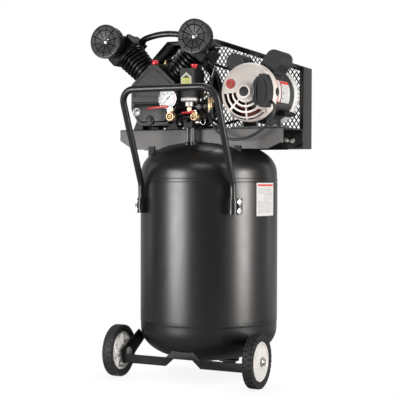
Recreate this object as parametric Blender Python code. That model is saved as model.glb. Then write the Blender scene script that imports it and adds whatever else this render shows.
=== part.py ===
"""Vertical tank compressor: an upright air receiver on two wheels and a rear foot, carrying a
belt-driven two-cylinder V pump and an electric motor on a channel deck.

Metres, +Z up. The origin is on the ground at the middle of the machine's overall footprint.
+X is the motor side (right), -Y is the handle and wheel side (front).
Pieces are drawn around the tank's axis at x = y = 0, and add_piece moves them by TANK_AXIS.
"""
import math

import bmesh
import bpy
from mathutils import Vector

# ---------------------------------------------------------------- driving dimensions
TANK_AXIS = Vector((0.033954, 0.050027, 0.0))
GAP = 0.0003             # clearance between pieces that touch

TANK_RADIUS = 0.2285     # rolled shell, outside
HEAD_RADIUS = 0.2272     # pressed heads, outside
HEAD_DEPTH = 0.114       # nearly 2:1 heads with full shoulders
HEAD_POWER = 2.35        # 2 would be a true ellipse
HEAD_SHARES = (0.16, 0.42, 0.66, 0.83, 0.93, 0.98, 1.0)   # share of the radius at each head ring
TANK_WALL = 0.003
TANK_PORT = 0.008        # radius of the bottom port
HEAD_LOW_Z, SHELL_LOW_Z = 0.166, 0.183
SHELL_TOP_Z, HEAD_TOP_Z = 0.653, 0.664

WHEEL_RADIUS, WHEEL_WIDTH = 0.085, 0.034
WHEEL_X, WHEEL_Y = 0.246, -0.173
RIM_RADIUS = 0.062
STRAP_X = 0.2155         # middle of the wheel straps

DECK_LEFT, DECK_RIGHT = -0.284, 0.3025
DECK_FRONT, DECK_BACK = -0.100, 0.080
DECK_Z, DECK_LOW_Z, DECK_SHEET = 0.8155, 0.7485, 0.004
DISCHARGE_X, DISCHARGE_Y = 0.070, -0.078   # where the delivery pipe passes through the deck

CRANK_X, CRANK_Z = -0.150, 0.945
CRANK = (CRANK_X, 0, CRANK_Z)
MOTOR_X, MOTOR_Z = 0.1935, 0.926
MOTOR = (MOTOR_X, 0, MOTOR_Z)
BELT_MID_Y = 0.129

RIGHT, BACK, UP = Vector((1, 0, 0)), Vector((0, 1, 0)), Vector((0, 0, 1))
SIDES = ((-1, "left"), (1, "right"))
CUT, ADD = "DIFFERENCE", "UNION"

for old in list(bpy.data.objects):
    bpy.data.objects.remove(old, do_unlink=True)

root = bpy.data.objects.new("compressor", None)
bpy.context.scene.collection.objects.link(root)

# ---------------------------------------------------------------- finishes
BLACK = dict(colour=(0.016, 0.016, 0.017), roughness=0.38, metallic=0.0)
CAST_BLACK = dict(colour=(0.02, 0.02, 0.021), roughness=0.5, metallic=0.0)
PLASTIC = dict(colour=(0.015, 0.015, 0.016), roughness=0.45, metallic=0.0)
RUBBER = dict(colour=(0.018, 0.018, 0.018), roughness=0.85, metallic=0.0)
HUB = dict(colour=(0.62, 0.62, 0.6), roughness=0.42, metallic=0.0)
ZINC = dict(colour=(0.62, 0.62, 0.63), roughness=0.3, metallic=1.0)
STEEL = dict(colour=(0.5, 0.5, 0.52), roughness=0.35, metallic=1.0)
ALUMINIUM = dict(colour=(0.72, 0.69, 0.65), roughness=0.42, metallic=0.9)
BRASS = dict(colour=(0.72, 0.5, 0.22), roughness=0.28, metallic=1.0)
RED = dict(colour=(0.62, 0.02, 0.02), roughness=0.35, metallic=0.0)
IRON = dict(colour=(0.12, 0.12, 0.12), roughness=0.6, metallic=0.8)
COPPER = dict(colour=(0.35, 0.05, 0.03), roughness=0.5, metallic=0.3)
GLASS = dict(colour=(0.75, 0.76, 0.76), roughness=0.15, metallic=0.3)


def make_material(name, colour, roughness, metallic):
    material = bpy.data.materials.new(name)
    material.use_nodes = True
    inputs = material.node_tree.nodes["Principled BSDF"].inputs
    inputs["Base Color"].default_value = (*colour, 1)
    inputs["Roughness"].default_value = roughness
    inputs["Metallic"].default_value = metallic
    return material


# ---------------------------------------------------------------- mesh helpers
def new_mesh(points, faces):
    bm = bmesh.new()
    verts = [bm.verts.new(point) for point in points]
    for face in faces:
        bm.faces.new([verts[i] for i in face])
    bmesh.ops.recalc_face_normals(bm, faces=bm.faces)
    return bm


def join_rings(rings):
    """A closed loop of equal rings of points, the last joined to the first."""
    size = len(rings[0])
    faces = []
    for i in range(len(rings)):
        here, there = i * size, (i + 1) % len(rings) * size
        for k in range(size):
            after = (k + 1) % size
            faces.append((here + k, here + after, there + after, there + k))
    return new_mesh([point for ring in rings for point in ring], faces)


def frame_for(axis):
    """Three unit vectors, the last along axis, forming a right-handed set."""
    along = Vector(axis).normalized()
    first = UP if abs(along.z) < 0.9 else RIGHT
    first = (first - along * first.dot(along)).normalized()
    return first, along.cross(first), along


def lathe(profile, centre=(0, 0, 0), axis=UP, segments=24):
    """A closed profile of (radius, height) points, turned about axis through centre."""
    first, second, along = frame_for(axis)
    centre = Vector(centre)
    points, rings = [], []
    for radius, height in profile:
        middle = centre + along * height
        if radius < 1e-7:   # a point on the axis is a single vertex
            rings.append([len(points)])
            points.append(middle)
            continue
        rings.append(range(len(points), len(points) + segments))
        for k in range(segments):
            angle = 2 * math.pi * k / segments
            points.append(middle + (first * math.cos(angle) + second * math.sin(angle)) * radius)
    faces = []
    for low, high in zip(rings, rings[1:] + rings[:1]):
        if len(low) == 1 and len(high) == 1:
            continue
        for k in range(segments):
            after = (k + 1) % segments
            if len(low) == 1:
                faces.append((low[0], high[k], high[after]))
            elif len(high) == 1:
                faces.append((low[k], low[after], high[0]))
            else:
                faces.append((low[k], low[after], high[after], high[k]))
    return new_mesh(points, faces)


def rod(radius, start, end, centre=(0, 0, 0), axis=UP, segments=16):
    return lathe([(0, start), (radius, start), (radius, end), (0, end)], centre, axis, segments)


def hexagon(radius, start, end, centre, axis):
    return rod(radius, start, end, centre, axis, 6)


def prism(outline, start, end, origin=(0, 0, 0), first=RIGHT, second=UP, along=BACK):
    """Outline points measured from origin on first and second, extruded along the third."""
    origin = Vector(origin)
    points = [origin + first * a + second * b + along * depth
              for depth in (start, end) for a, b in outline]
    k = len(outline)
    faces = [tuple(range(k)), tuple(range(2 * k - 1, k - 1, -1))]
    faces += [(i, (i + 1) % k, k + (i + 1) % k, k + i) for i in range(k)]
    return new_mesh(points, faces)


IN_YZ = dict(first=BACK, second=UP, along=RIGHT)   # outline in (y, z), extruded along x
IN_XY = dict(first=RIGHT, second=BACK, along=UP)   # outline in (x, y), extruded along z


def box(x0, x1, y0, y1, z0, z1):
    return prism([(x0, z0), (x1, z0), (x1, z1), (x0, z1)], y0, y1)


def direction_xz(angle):
    return Vector((math.cos(angle), 0, math.sin(angle)))


def quarter_turn(vector):
    """The vector turned a quarter turn from +X towards +Z."""
    return Vector((-vector.z, 0, vector.x))


def span(side, near, far):
    """The two x values at near and far on one side, in rising order."""
    return sorted((side * near, side * far))


def mirrored(left):
    """A left half outline, closed by its mirror image."""
    return left + [(-a, b) for a, b in reversed(left)]


def rounded(points, radius, steps):
    """A polyline with its inner corners replaced by arcs of the given radius."""
    corners = [Vector(point) for point in points]
    path = [corners[0]]
    for before, corner, after in zip(corners, corners[1:], corners[2:]):
        back, on = (before - corner).normalized(), (after - corner).normalized()
        half = back.angle(on) / 2
        cut = radius / math.tan(half)
        centre = corner + (back + on).normalized() * (radius / math.sin(half))
        start, end = corner + back * cut - centre, corner + on * cut - centre
        for i in range(steps + 1):
            turned = start.normalized().slerp(end.normalized(), i / steps)
            path.append(centre + turned * start.length)
    return path + [corners[-1]]


def sweep(path, radius, segments):
    """A round bar along a path, with flat ends."""
    last = len(path) - 1
    tangents = [(path[min(i + 1, last)] - path[max(i - 1, 0)]).normalized()
                for i in range(len(path))]
    first = frame_for(tangents[0])[0]
    points, faces = [], []
    for i, (middle, tangent) in enumerate(zip(path, tangents)):
        first = (first - tangent * first.dot(tangent)).normalized()
        second = tangent.cross(first)
        for k in range(segments):
            angle = 2 * math.pi * k / segments
            points.append(middle + (first * math.cos(angle) + second * math.sin(angle)) * radius)
        if i:
            here, there = (i - 1) * segments, i * segments
            for k in range(segments):
                after = (k + 1) % segments
                faces.append((here + k, here + after, there + after, there + k))
    faces.append(tuple(range(segments - 1, -1, -1)))
    faces.append(tuple(range(last * segments, (last + 1) * segments)))
    return new_mesh(points, faces)


def as_object(bm, name):
    mesh = bpy.data.meshes.new(name)
    bm.to_mesh(mesh)
    bm.free()
    made = bpy.data.objects.new(name, mesh)
    bpy.context.scene.collection.objects.link(made)
    return made


def combine(base, *steps):
    """base, then each (operation, bmesh) applied in turn with an exact Boolean."""
    body = as_object(base, "helper")
    for operation, tool in steps:
        cutter = as_object(tool, "cutter")
        boolean = body.modifiers.new("step", "BOOLEAN")
        boolean.operation, boolean.object, boolean.solver = operation, cutter, "EXACT"
        bpy.context.view_layer.update()
        depsgraph = bpy.context.evaluated_depsgraph_get()
        result = bpy.data.meshes.new_from_object(body.evaluated_get(depsgraph))
        body.modifiers.clear()
        body.data = result
        bpy.data.objects.remove(cutter, do_unlink=True)
    bm = bmesh.new()
    bm.from_mesh(body.data)
    bpy.data.objects.remove(body, do_unlink=True)
    bmesh.ops.dissolve_degenerate(bm, dist=1e-6, edges=bm.edges)
    return bm


def add_piece(name, bm, finish, origin=(0, 0, 0), sharp=35):
    """Makes the named piece. Its origin lies on the joint's axis if it moves; sharp is in degrees."""
    origin = Vector(origin)
    for vert in bm.verts:
        vert.co -= origin
    piece = as_object(bm, name)
    piece.data.shade_smooth()
    piece.data.set_sharp_from_angle(angle=math.radians(sharp))
    piece.data.materials.append(make_material(name, **finish))
    piece.location = origin + TANK_AXIS
    piece.parent = root


# ---------------------------------------------------------------- tank
def head_curve(radius, head_radius, depth):
    """Rise of a head above its rim at the given radius."""
    return depth * max(0.0, 1 - (radius / head_radius) ** HEAD_POWER) ** (1 / HEAD_POWER)


def head_rings(head_radius, depth):
    """(radius, rise) of a head's rings, from near the pole out to the rim."""
    radii = [head_radius * share for share in HEAD_SHARES]
    return [(radius, head_curve(radius, head_radius, depth)) for radius in radii]


def tank_outline(grow, start):
    """The tank's outside grown by grow, from radius start at the bottom to the top pole."""
    radius, depth = HEAD_RADIUS + grow, HEAD_DEPTH + grow
    rings = head_rings(radius, depth)
    outline = [(start, HEAD_LOW_Z - head_curve(start, radius, depth))]
    outline += [(ring, HEAD_LOW_Z - rise) for ring, rise in rings]
    outline += [(radius, SHELL_LOW_Z), (TANK_RADIUS + grow, SHELL_LOW_Z + 0.001),
                (TANK_RADIUS + grow, SHELL_TOP_Z), (radius, SHELL_TOP_Z + 0.001)]
    outline += [(ring, HEAD_TOP_Z + rise) for ring, rise in reversed(rings)]
    return outline + [(0, HEAD_TOP_Z + depth)]


def cut_by_tank():
    """A step that trims a piece to sit a gap clear of the tank."""
    return CUT, lathe(tank_outline(GAP, 0), segments=36)


def tank_shell():
    radius, depth = HEAD_RADIUS - TANK_WALL, HEAD_DEPTH - TANK_WALL
    rings = head_rings(radius, depth)[1:]
    inside = [(0, HEAD_TOP_Z + depth)]
    inside += [(ring, HEAD_TOP_Z + rise) for ring, rise in rings]
    inside += [(ring, HEAD_LOW_Z - rise) for ring, rise in reversed(rings)]
    inside.append((TANK_PORT, HEAD_LOW_Z - head_curve(TANK_PORT, radius, depth)))
    return lathe(tank_outline(0, TANK_PORT) + inside, segments=36)


def drain_valve_body():
    """Screwed up into the bottom port."""
    bottom = HEAD_LOW_Z - HEAD_DEPTH
    return lathe([(0.0025, 0.0285), (0.008, 0.0285), (0.008, 0.034), (0.0115, 0.034),
                  (0.0115, bottom - 0.0012), (0.0076, bottom - 0.0012),
                  (0.0076, bottom + 0.008), (0.0025, bottom + 0.008)], segments=12)


def drain_valve_knob():
    knob = [(0, 0.0125), (0.0065, 0.0125), (0.0065, 0.028), (0.002, 0.028), (0.002, 0.034),
            (0, 0.034)]
    wings = box(-0.0135, 0.0135, -0.002, 0.002, 0.014, 0.025)
    return combine(lathe(knob, segments=12), (ADD, wings))


add_piece("tank_shell", tank_shell(), BLACK, sharp=40)
add_piece("drain_valve_body", drain_valve_body(), BRASS)
add_piece("drain_valve_knob", drain_valve_knob(), BRASS, (0, 0, 0.028))

# ---------------------------------------------------------------- wheels, axle frame and foot
BAR_SHEET, BAR_HEIGHT = 0.006, 0.028
BAR_Y, BAR_LOW_Z = -0.193, 0.050
BAR_JOG = 0.025          # how far the crossbar's middle is raised
STRAP_OUTLINE = [        # (y, z)
    (-0.1985, 0.048), (-0.2105, 0.0915), (-0.0923, 0.1467), (-0.053, 0.1144), (-0.166, 0.048)]
WEB_OUTLINE = [(-0.086, 0.121), (-0.084, 0.137), (-0.064, 0.138), (-0.062, 0.124)]   # (y, z)
FOOT_OUTLINE = [         # (y, z)
    (0.150, 0.0140), (0.192, 0.0140), (0.192, 0.112), (0.186, 0.112), (0.186, 0.0200),
    (0.150, 0.0200)]


def crossbar():
    low, high, end = BAR_LOW_Z, BAR_LOW_Z + BAR_HEIGHT, STRAP_X + 0.0025
    outline = [(-end, low), (-0.062, low), (-0.034, low + BAR_JOG), (0.034, low + BAR_JOG),
               (0.062, low), (end, low), (end, high), (0.062, high), (0.034, high + BAR_JOG),
               (-0.034, high + BAR_JOG), (-0.062, high), (-end, high)]
    return prism(outline, BAR_Y - BAR_SHEET / 2, BAR_Y + BAR_SHEET / 2)


def wheel_frame():
    """Crossbar, two side straps with webs to the tank, and the axle holes."""
    steps = []
    for side, _ in SIDES:
        strap_span = span(side, STRAP_X - 0.003, STRAP_X + 0.003)
        web_span = span(side, 0.188, STRAP_X - 0.001)
        steps.append((ADD, prism(STRAP_OUTLINE, *strap_span, **IN_YZ)))
        steps.append((ADD, prism(WEB_OUTLINE, *web_span, **IN_YZ)))
    steps.append(cut_by_tank())
    for side, _ in SIDES:
        steps.append((CUT, rod(0.0088, 0.200, 0.232, (0, WHEEL_Y, WHEEL_RADIUS), (side, 0, 0))))
    return combine(crossbar(), *steps)


def tyre(side, centre):
    half, radius = WHEEL_WIDTH / 2, WHEEL_RADIUS
    profile = [(RIM_RADIUS, -half * 0.82), (RIM_RADIUS + 0.009, -half * 0.94),
               (radius - 0.006, -half), (radius, -half + 0.005), (radius, half - 0.005),
               (radius - 0.006, half), (RIM_RADIUS + 0.009, half * 0.94),
               (RIM_RADIUS, half * 0.82)]
    return lathe(profile, centre, (side, 0, 0))


def hub(side, centre):
    """Heights run outwards from the wheel's middle plane: outer face nearly flat, inner dished."""
    radius = RIM_RADIUS - GAP
    profile = [(radius, -0.0135), (radius, 0.0135), (0.056, 0.0150), (0.053, 0.0125),
               (0.024, 0.0130), (0.017, 0.0165), (0.0084, 0.0165), (0.0084, -0.0150),
               (0.019, -0.0150), (0.021, 0.004), (0.052, 0.006), (0.055, -0.0135)]
    return lathe(profile, centre, (side, 0, 0))


def axle_bolt(side):
    """Heights are distances from the middle of the machine."""
    head, shank = 0.0125, 0.0080
    profile = [(0, 0.2040), (head, 0.2040), (head, 0.2122), (shank, 0.2122), (shank, 0.2190),
               (head, 0.2190), (head, 0.2280), (shank, 0.2280), (shank, 0.2630),
               (head, 0.2630), (head, 0.2705), (0.0060, 0.2705), (0.0060, 0.2745), (0, 0.2745)]
    return lathe(profile, (0, WHEEL_Y, WHEEL_RADIUS), (side, 0, 0), 12)


def rear_foot_strap():
    return combine(prism(FOOT_OUTLINE, -0.029, 0.029, **IN_YZ), cut_by_tank())


def rear_foot_pad():
    return lathe([(0, 0), (0.0215, 0), (0.0235, 0.0137), (0, 0.0137)], (0, 0.171, 0),
                 segments=20)


add_piece("wheel_frame", wheel_frame(), BLACK)
for side, word in SIDES:
    centre = (side * WHEEL_X, WHEEL_Y, WHEEL_RADIUS)
    add_piece("wheel_tyre_" + word, tyre(side, centre), RUBBER, centre)
    add_piece("wheel_hub_" + word, hub(side, centre), HUB, centre)
    add_piece("axle_bolt_" + word, axle_bolt(side), ZINC,
              (side * STRAP_X, WHEEL_Y, WHEEL_RADIUS))
add_piece("rear_foot_strap", rear_foot_strap(), BLACK)
add_piece("rear_foot_pad", rear_foot_pad(), RUBBER)

# ---------------------------------------------------------------- handle
HANDLE_RADIUS = 0.0106
HANDLE_HALF, HANDLE_MID_X = 0.1625, 0.0045
HANDLE_Y, HANDLE_TOP_Y = -0.181, -0.318
HANDLE_LOW_Z, HANDLE_KNEE_Z, HANDLE_TOP_Z = 0.545, 0.632, 0.931
HANDLE_BEND = 0.048
BRACKET_HALF = 0.0148
BRACKET_LOW_Z, BRACKET_TOP_Z = 0.541, 0.590


def handle_tube():
    left, right = HANDLE_MID_X - HANDLE_HALF, HANDLE_MID_X + HANDLE_HALF
    corners = [(left, HANDLE_Y, HANDLE_LOW_Z), (left, HANDLE_Y, HANDLE_KNEE_Z),
               (left, HANDLE_TOP_Y, HANDLE_TOP_Z), (right, HANDLE_TOP_Y, HANDLE_TOP_Z),
               (right, HANDLE_Y, HANDLE_KNEE_Z), (right, HANDLE_Y, HANDLE_LOW_Z)]
    return sweep(rounded(corners, HANDLE_BEND, 4), HANDLE_RADIUS, 12)


def handle_bracket(x):
    """A round-fronted socket between the tank and the foot of a handle leg."""
    angles = [math.radians(degrees) for degrees in range(-90, 91, 30)]
    outline = [(x + BRACKET_HALF * math.sin(angle), HANDLE_Y - BRACKET_HALF * math.cos(angle))
               for angle in angles]
    outline += [(x + BRACKET_HALF, -0.140), (x - BRACKET_HALF, -0.140)]
    socket = rod(HANDLE_RADIUS + 0.0004, 0.5435, 0.600, (x, HANDLE_Y, 0), segments=20)
    return combine(prism(outline, BRACKET_LOW_Z, BRACKET_TOP_Z, **IN_XY),
                   cut_by_tank(), (CUT, socket))


add_piece("handle_tube", handle_tube(), BLACK, sharp=50)
for side, word in SIDES:
    add_piece("handle_bracket_" + word, handle_bracket(HANDLE_MID_X + side * HANDLE_HALF), BLACK)

# ---------------------------------------------------------------- deck and belt guard
GUARD_FRONT, GUARD_BACK = 0.096, 0.178
GUARD_SHEET = 0.003
GUARD_OUTLINE = [        # (x, z), anticlockwise with +X right and +Z up
    (0.299, 0.752), (0.299, 1.022), (-0.020, 1.131), (-0.208, 1.131), (-0.300, 1.040),
    (-0.300, 0.752), (-0.165, 0.752), (-0.130, 0.790), (0.130, 0.790), (0.165, 0.752)]
GUARD_SECTION = [        # (distance inside the outline, y): a channel with a lip at each edge
    (0, GUARD_FRONT), (0, GUARD_BACK), (0.018, GUARD_BACK), (0.018, GUARD_BACK - GUARD_SHEET),
    (GUARD_SHEET, GUARD_BACK - GUARD_SHEET), (GUARD_SHEET, GUARD_FRONT + GUARD_SHEET),
    (0.014, GUARD_FRONT + GUARD_SHEET), (0.014, GUARD_FRONT)]
GUARD_TAB_XS = (-0.19, 0.20)


def deck_channel():
    flange = [(DECK_LEFT, DECK_Z), (DECK_RIGHT, DECK_Z), (DECK_RIGHT, 0.772),
              (DECK_RIGHT - 0.052, DECK_LOW_Z), (DECK_LEFT + 0.050, DECK_LOW_Z),
              (DECK_LEFT, 0.779)]
    top = box(DECK_LEFT, DECK_RIGHT, DECK_FRONT + DECK_SHEET / 2, DECK_BACK - DECK_SHEET / 2,
              DECK_Z - DECK_SHEET, DECK_Z)
    pipe_hole = rod(0.0095, 0.800, 0.830, (DISCHARGE_X, DISCHARGE_Y, 0))
    return combine(prism(flange, DECK_FRONT, DECK_FRONT + DECK_SHEET),
                   (ADD, prism(flange, DECK_BACK - DECK_SHEET, DECK_BACK)),
                   (ADD, top), (CUT, pipe_hole), cut_by_tank())


def inset(polygon, distance):
    """The anticlockwise polygon moved inwards by distance."""
    moved = []
    for i in range(len(polygon)):
        before, corner, after = (Vector(polygon[(i + j) % len(polygon)]) for j in (-1, 0, 1))
        edge_in, edge_out = corner - before, after - corner
        normal_in = Vector((-edge_in.y, edge_in.x)).normalized()
        normal_out = Vector((-edge_out.y, edge_out.x)).normalized()
        shift = distance / (1 + normal_in.dot(normal_out))
        moved.append(corner + (normal_in + normal_out) * shift)
    return moved


def belt_guard_frame():
    rings = [[(point.x, y, point.y) for point in inset(GUARD_OUTLINE, distance)]
             for distance, y in GUARD_SECTION]
    tabs = [(ADD, box(x - 0.014, x + 0.014, DECK_BACK + GAP, GUARD_FRONT + 0.0015,
                      0.7545, 0.764)) for x in GUARD_TAB_XS]
    return combine(join_rings(rings), *tabs)


def belt_guard_mesh():
    """A flat panel just inside the guard's back lip."""
    outline = inset(GUARD_OUTLINE, 0.0045)
    return prism(outline, GUARD_BACK - 0.0048, GUARD_BACK - 0.0034)


add_piece("deck_channel", deck_channel(), BLACK)
add_piece("belt_guard_frame", belt_guard_frame(), BLACK)
add_piece("belt_guard_mesh", belt_guard_mesh(), BLACK)

# ---------------------------------------------------------------- pump
# Distances along a cylinder are measured from the crank axis.
THROW, ROD_LENGTH = 0.023, 0.125
CYLINDER_Y = -0.045
CYLINDER_SEAT, CYLINDER_TOP = 0.072, 0.176
BORE_RADIUS = 0.0325
FIN_RADIUS = 0.051       # outermost fin
FIN_ROOT = 0.0390
FIN_COUNT, FIN_PITCH, FIRST_FIN = 6, 0.0140, 0.0905
PUMP_HEAD_HALF, PUMP_HEAD_OUT = 0.053, 0.236
PUMP_HEAD_FRONT, PUMP_HEAD_BACK = -0.094, 0.006
TEETH, TOOTH_WIDTH, TOOTH_ROOT = 5, 0.005, 0.206
FILTER_RADIUS, FILTER_AT = 0.0565, 0.2318
CASE_HALF = 0.082
CASE_FRONT, CASE_BACK = -0.098, 0.050
COVER_FRONT = -0.116
FILLER = (-0.158, -0.0855, 0)
BANK_CENTRE = Vector((CRANK_X, CYLINDER_Y, CRANK_Z))
# crank axis to piston pin, with the crank pin straight up
PISTON_AT = (THROW * math.cos(math.pi / 4)
             + math.sqrt(ROD_LENGTH ** 2 - (THROW * math.sin(math.pi / 4)) ** 2))
CROWN = 0.026            # piston pin to crown

# crankcase outlines: (x, z) from the crank axis
CASE_OUTLINE = mirrored([(-0.058, -0.1175), (-0.058, -0.092), (-CASE_HALF, -0.060),
                         (-CASE_HALF, CYLINDER_SEAT * math.sqrt(2) - CASE_HALF),
                         (-0.0158, 0.086)])
CAVITY_OUTLINE = mirrored([(-0.048, -0.1035), (-0.048, -0.084), (-0.070, -0.056),
                           (-0.070, 0.0177), (-0.0105, 0.0772)])
COVER_OUTLINE = mirrored([(-0.055, -0.1135), (-0.070, -0.085), (-CASE_HALF, -0.062),
                          (-CASE_HALF, 0.0185), (-0.012, 0.0815)])
CASE_FEET = (            # inner edge from the crank axis, front y, back y
    (0.050, CASE_FRONT, -0.063), (0.058, 0.020, CASE_BACK + 0.003))


def at_crank(points):
    return [(CRANK_X + x, CRANK_Z + z) for x, z in points]


def bank(side):
    """Unit vector along a cylinder, pointing away from the crank."""
    return Vector((side, 0, 1)).normalized()


def to_valley(side):
    """Unit vector across a cylinder, towards the valley between the banks."""
    return quarter_turn(bank(side)) * side


def crankcase():
    steps = []
    for side, _ in SIDES:
        for inner, front, back in CASE_FEET:
            foot = [(side * x, z) for x, z in (
                (0.084, -0.1292), (inner, -0.1292), (0.046, -0.112), (0.056, -0.088),
                (0.066, -0.088))]
            steps.append((ADD, prism(at_crank(foot), front, back)))
    bearing_boss = rod(0.034, CASE_BACK - 0.006, 0.0775, CRANK, BACK, 20)
    cavity = prism(at_crank(CAVITY_OUTLINE), CASE_FRONT - 0.01, CASE_BACK - 0.009)
    shaft_hole = rod(0.0206, CASE_BACK - 0.02, 0.090, CRANK, BACK, 20)
    steps += [(ADD, bearing_boss), (CUT, cavity), (CUT, shaft_hole)]
    for side, _ in SIDES:
        steps.append((CUT, rod(0.0355, 0.050, 0.095, BANK_CENTRE, bank(side), 20)))
    steps.append((CUT, rod(0.0060, 1.02, 1.05, FILLER, segments=12)))
    return combine(prism(at_crank(CASE_OUTLINE), CASE_FRONT, CASE_BACK), *steps)


def crankcase_cover():
    return combine(prism(at_crank(COVER_OUTLINE), COVER_FRONT, CASE_FRONT - GAP),
                   (CUT, rod(0.0150, -0.108, -0.080, CRANK, BACK, 20)))


def crankshaft():
    """Front journal and web, crank pin, then back web and the stepped drive shaft."""
    front = [(0, -0.1065), (0.0145, -0.1065), (0.0145, -0.078), (0.038, -0.078),
             (0.038, -0.066), (0, -0.066)]
    back = [(0, -0.024), (0.038, -0.024), (0.038, -0.012), (0.0200, -0.012), (0.0200, 0.1080),
            (0.0145, 0.1080), (0.0145, 0.1490), (0.0125, 0.1490), (0.0125, 0.1560),
            (0, 0.1560)]
    crank_pin = rod(0.0115, -0.068, -0.022, (CRANK_X, 0, CRANK_Z + THROW), BACK)
    return combine(lathe(front, CRANK, BACK, 20),
                   (ADD, crank_pin), (ADD, lathe(back, CRANK, BACK, 20)))


def piston(side, pin_at):
    radius, wall = BORE_RADIUS - GAP - 0.0001, 0.005
    return lathe([(0, CROWN), (radius, CROWN), (radius, -0.020), (radius - wall, -0.020),
                  (radius - wall, CROWN - 0.007), (0, CROWN - 0.007)], pin_at, bank(side), 18)


def connecting_rod(side, pin_at):
    """Small end and a short length of shank, ending clear of the crank pin."""
    shank = [(-0.007, -0.060), (0.007, -0.060), (0.007, 0.0), (-0.007, 0.0)]
    return combine(rod(0.0085, -0.024, 0.024, pin_at, BACK),
                   (ADD, prism(shank, -0.006, 0.006, pin_at,
                               first=-quarter_turn(bank(side)), second=bank(side))))


def cylinder(side):
    """Finned barrel; each fin reaches a little further than the one below."""
    flange_low = CYLINDER_TOP - 0.007
    low = CYLINDER_SEAT + GAP
    profile = [(BORE_RADIUS, low), (0.0435, low), (0.0435, 0.0800), (FIN_ROOT, 0.0800)]
    for i in range(FIN_COUNT):
        height = FIRST_FIN + FIN_PITCH * i
        tip = FIN_RADIUS - 0.0014 * (FIN_COUNT - 1 - i)
        profile += [(FIN_ROOT, height - 0.0024), (tip, height), (FIN_ROOT, height + 0.0024)]
    profile += [(FIN_ROOT, flange_low), (0.0500, flange_low), (0.0500, CYLINDER_TOP),
                (BORE_RADIUS, CYLINDER_TOP)]
    return lathe(profile, BANK_CENTRE, bank(side), 18)


def cylinder_head(side):
    """A comb of upright fins on a solid base."""
    low = CYLINDER_TOP + GAP
    comb = [(-PUMP_HEAD_HALF, low), (PUMP_HEAD_HALF, low)]
    pitch = (2 * PUMP_HEAD_HALF - TOOTH_WIDTH) / (TEETH - 1)
    for i in range(TEETH):
        x = PUMP_HEAD_HALF - pitch * i
        comb += [(x, PUMP_HEAD_OUT), (x - TOOTH_WIDTH, PUMP_HEAD_OUT)]
        if i < TEETH - 1:
            comb += [(x - TOOTH_WIDTH, TOOTH_ROOT), (x - pitch, TOOTH_ROOT)]
    return prism(comb, PUMP_HEAD_FRONT, PUMP_HEAD_BACK, CRANK,
                 first=to_valley(side), second=bank(side))


def air_filter(side):
    """A round can in front of the head, on a short neck."""
    middle = BANK_CENTRE + bank(side) * FILTER_AT
    radius, back = FILTER_RADIUS, PUMP_HEAD_FRONT - 0.0004
    profile = [(0, -0.153), (radius - 0.006, -0.153), (radius, -0.150), (radius, -0.141),
               (radius - 0.002, -0.139), (radius - 0.002, -0.112), (radius - 0.006, -0.108),
               (0.013, -0.108), (0.013, back), (0, back)]
    return lathe(profile, (middle.x, 0, middle.z), BACK)


def interconnect_tube():
    """Joins the two heads across the valley."""
    centre, level = Vector(CRANK), BACK * -0.020
    left, right = (centre + bank(side) * 0.1890 + to_valley(side) * (PUMP_HEAD_HALF + GAP) + level
                   for side, _ in SIDES)
    middle = centre + UP * 0.1960 + level
    corners = [left, left + to_valley(-1) * 0.013, middle, right + to_valley(1) * 0.013, right]
    return sweep(rounded(corners, 0.025, 3), 0.0105, 12)


def discharge_tube():
    """Delivery pipe from the right head, down through the deck to the top of the tank."""
    out = -to_valley(1)
    start = (Vector((CRANK_X, -0.060, CRANK_Z)) + bank(1) * 0.190
             + out * (PUMP_HEAD_HALF + GAP))
    x, y, foot_y = DISCHARGE_X, -0.135, DISCHARGE_Y
    nut_reach = math.hypot(x, foot_y) - 0.012
    foot_z = HEAD_TOP_Z + head_curve(nut_reach, HEAD_RADIUS, HEAD_DEPTH) + 0.0006
    corners = [start, start + out * 0.034, (x, y, 0.970), (x, y, 0.846), (x, foot_y, 0.834),
               (x, foot_y, foot_z + 0.004)]
    return combine(sweep(rounded(corners, 0.011, 3), 0.0060, 10),
                   (ADD, hexagon(0.0125, 0.889, 0.908, (x, y, 0), UP)),
                   (ADD, hexagon(0.0110, 0.866, 0.8895, (x, y, 0), UP)),
                   (ADD, hexagon(0.0120, foot_z, foot_z + 0.016, (x, foot_y, 0), UP)))


def oil_filler_cap():
    return lathe([(0, 1.0225), (0.0055, 1.0225), (0.0055, 1.0314), (0.0115, 1.0314),
                  (0.0118, 1.0405), (0.0085, 1.0460), (0, 1.0460)], FILLER, segments=14)


def sight_glass():
    back = COVER_FRONT - GAP
    return lathe([(0, back), (0.0140, back), (0.0140, COVER_FRONT - 0.006),
                  (0.0110, COVER_FRONT - 0.0075), (0, COVER_FRONT - 0.0065)],
                 (CRANK_X - 0.058, 0, CRANK_Z - 0.0724), BACK, 18)


add_piece("crankcase", crankcase(), CAST_BLACK)
add_piece("crankcase_cover", crankcase_cover(), CAST_BLACK)
add_piece("crankshaft", crankshaft(), STEEL, CRANK)
for side, word in SIDES:
    pin_at = BANK_CENTRE + bank(side) * PISTON_AT
    add_piece("piston_" + word, piston(side, pin_at), ALUMINIUM, pin_at)
    add_piece("connecting_rod_" + word, connecting_rod(side, pin_at), ALUMINIUM, pin_at)
    add_piece("cylinder_" + word, cylinder(side), CAST_BLACK, sharp=30)
    add_piece("cylinder_head_" + word, cylinder_head(side), CAST_BLACK)
    add_piece("air_filter_" + word, air_filter(side), PLASTIC)
add_piece("interconnect_tube", interconnect_tube(), BLACK, sharp=50)
add_piece("discharge_tube", discharge_tube(), BRASS)
add_piece("oil_filler_cap", oil_filler_cap(), RED)
add_piece("sight_glass", sight_glass(), GLASS)

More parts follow.
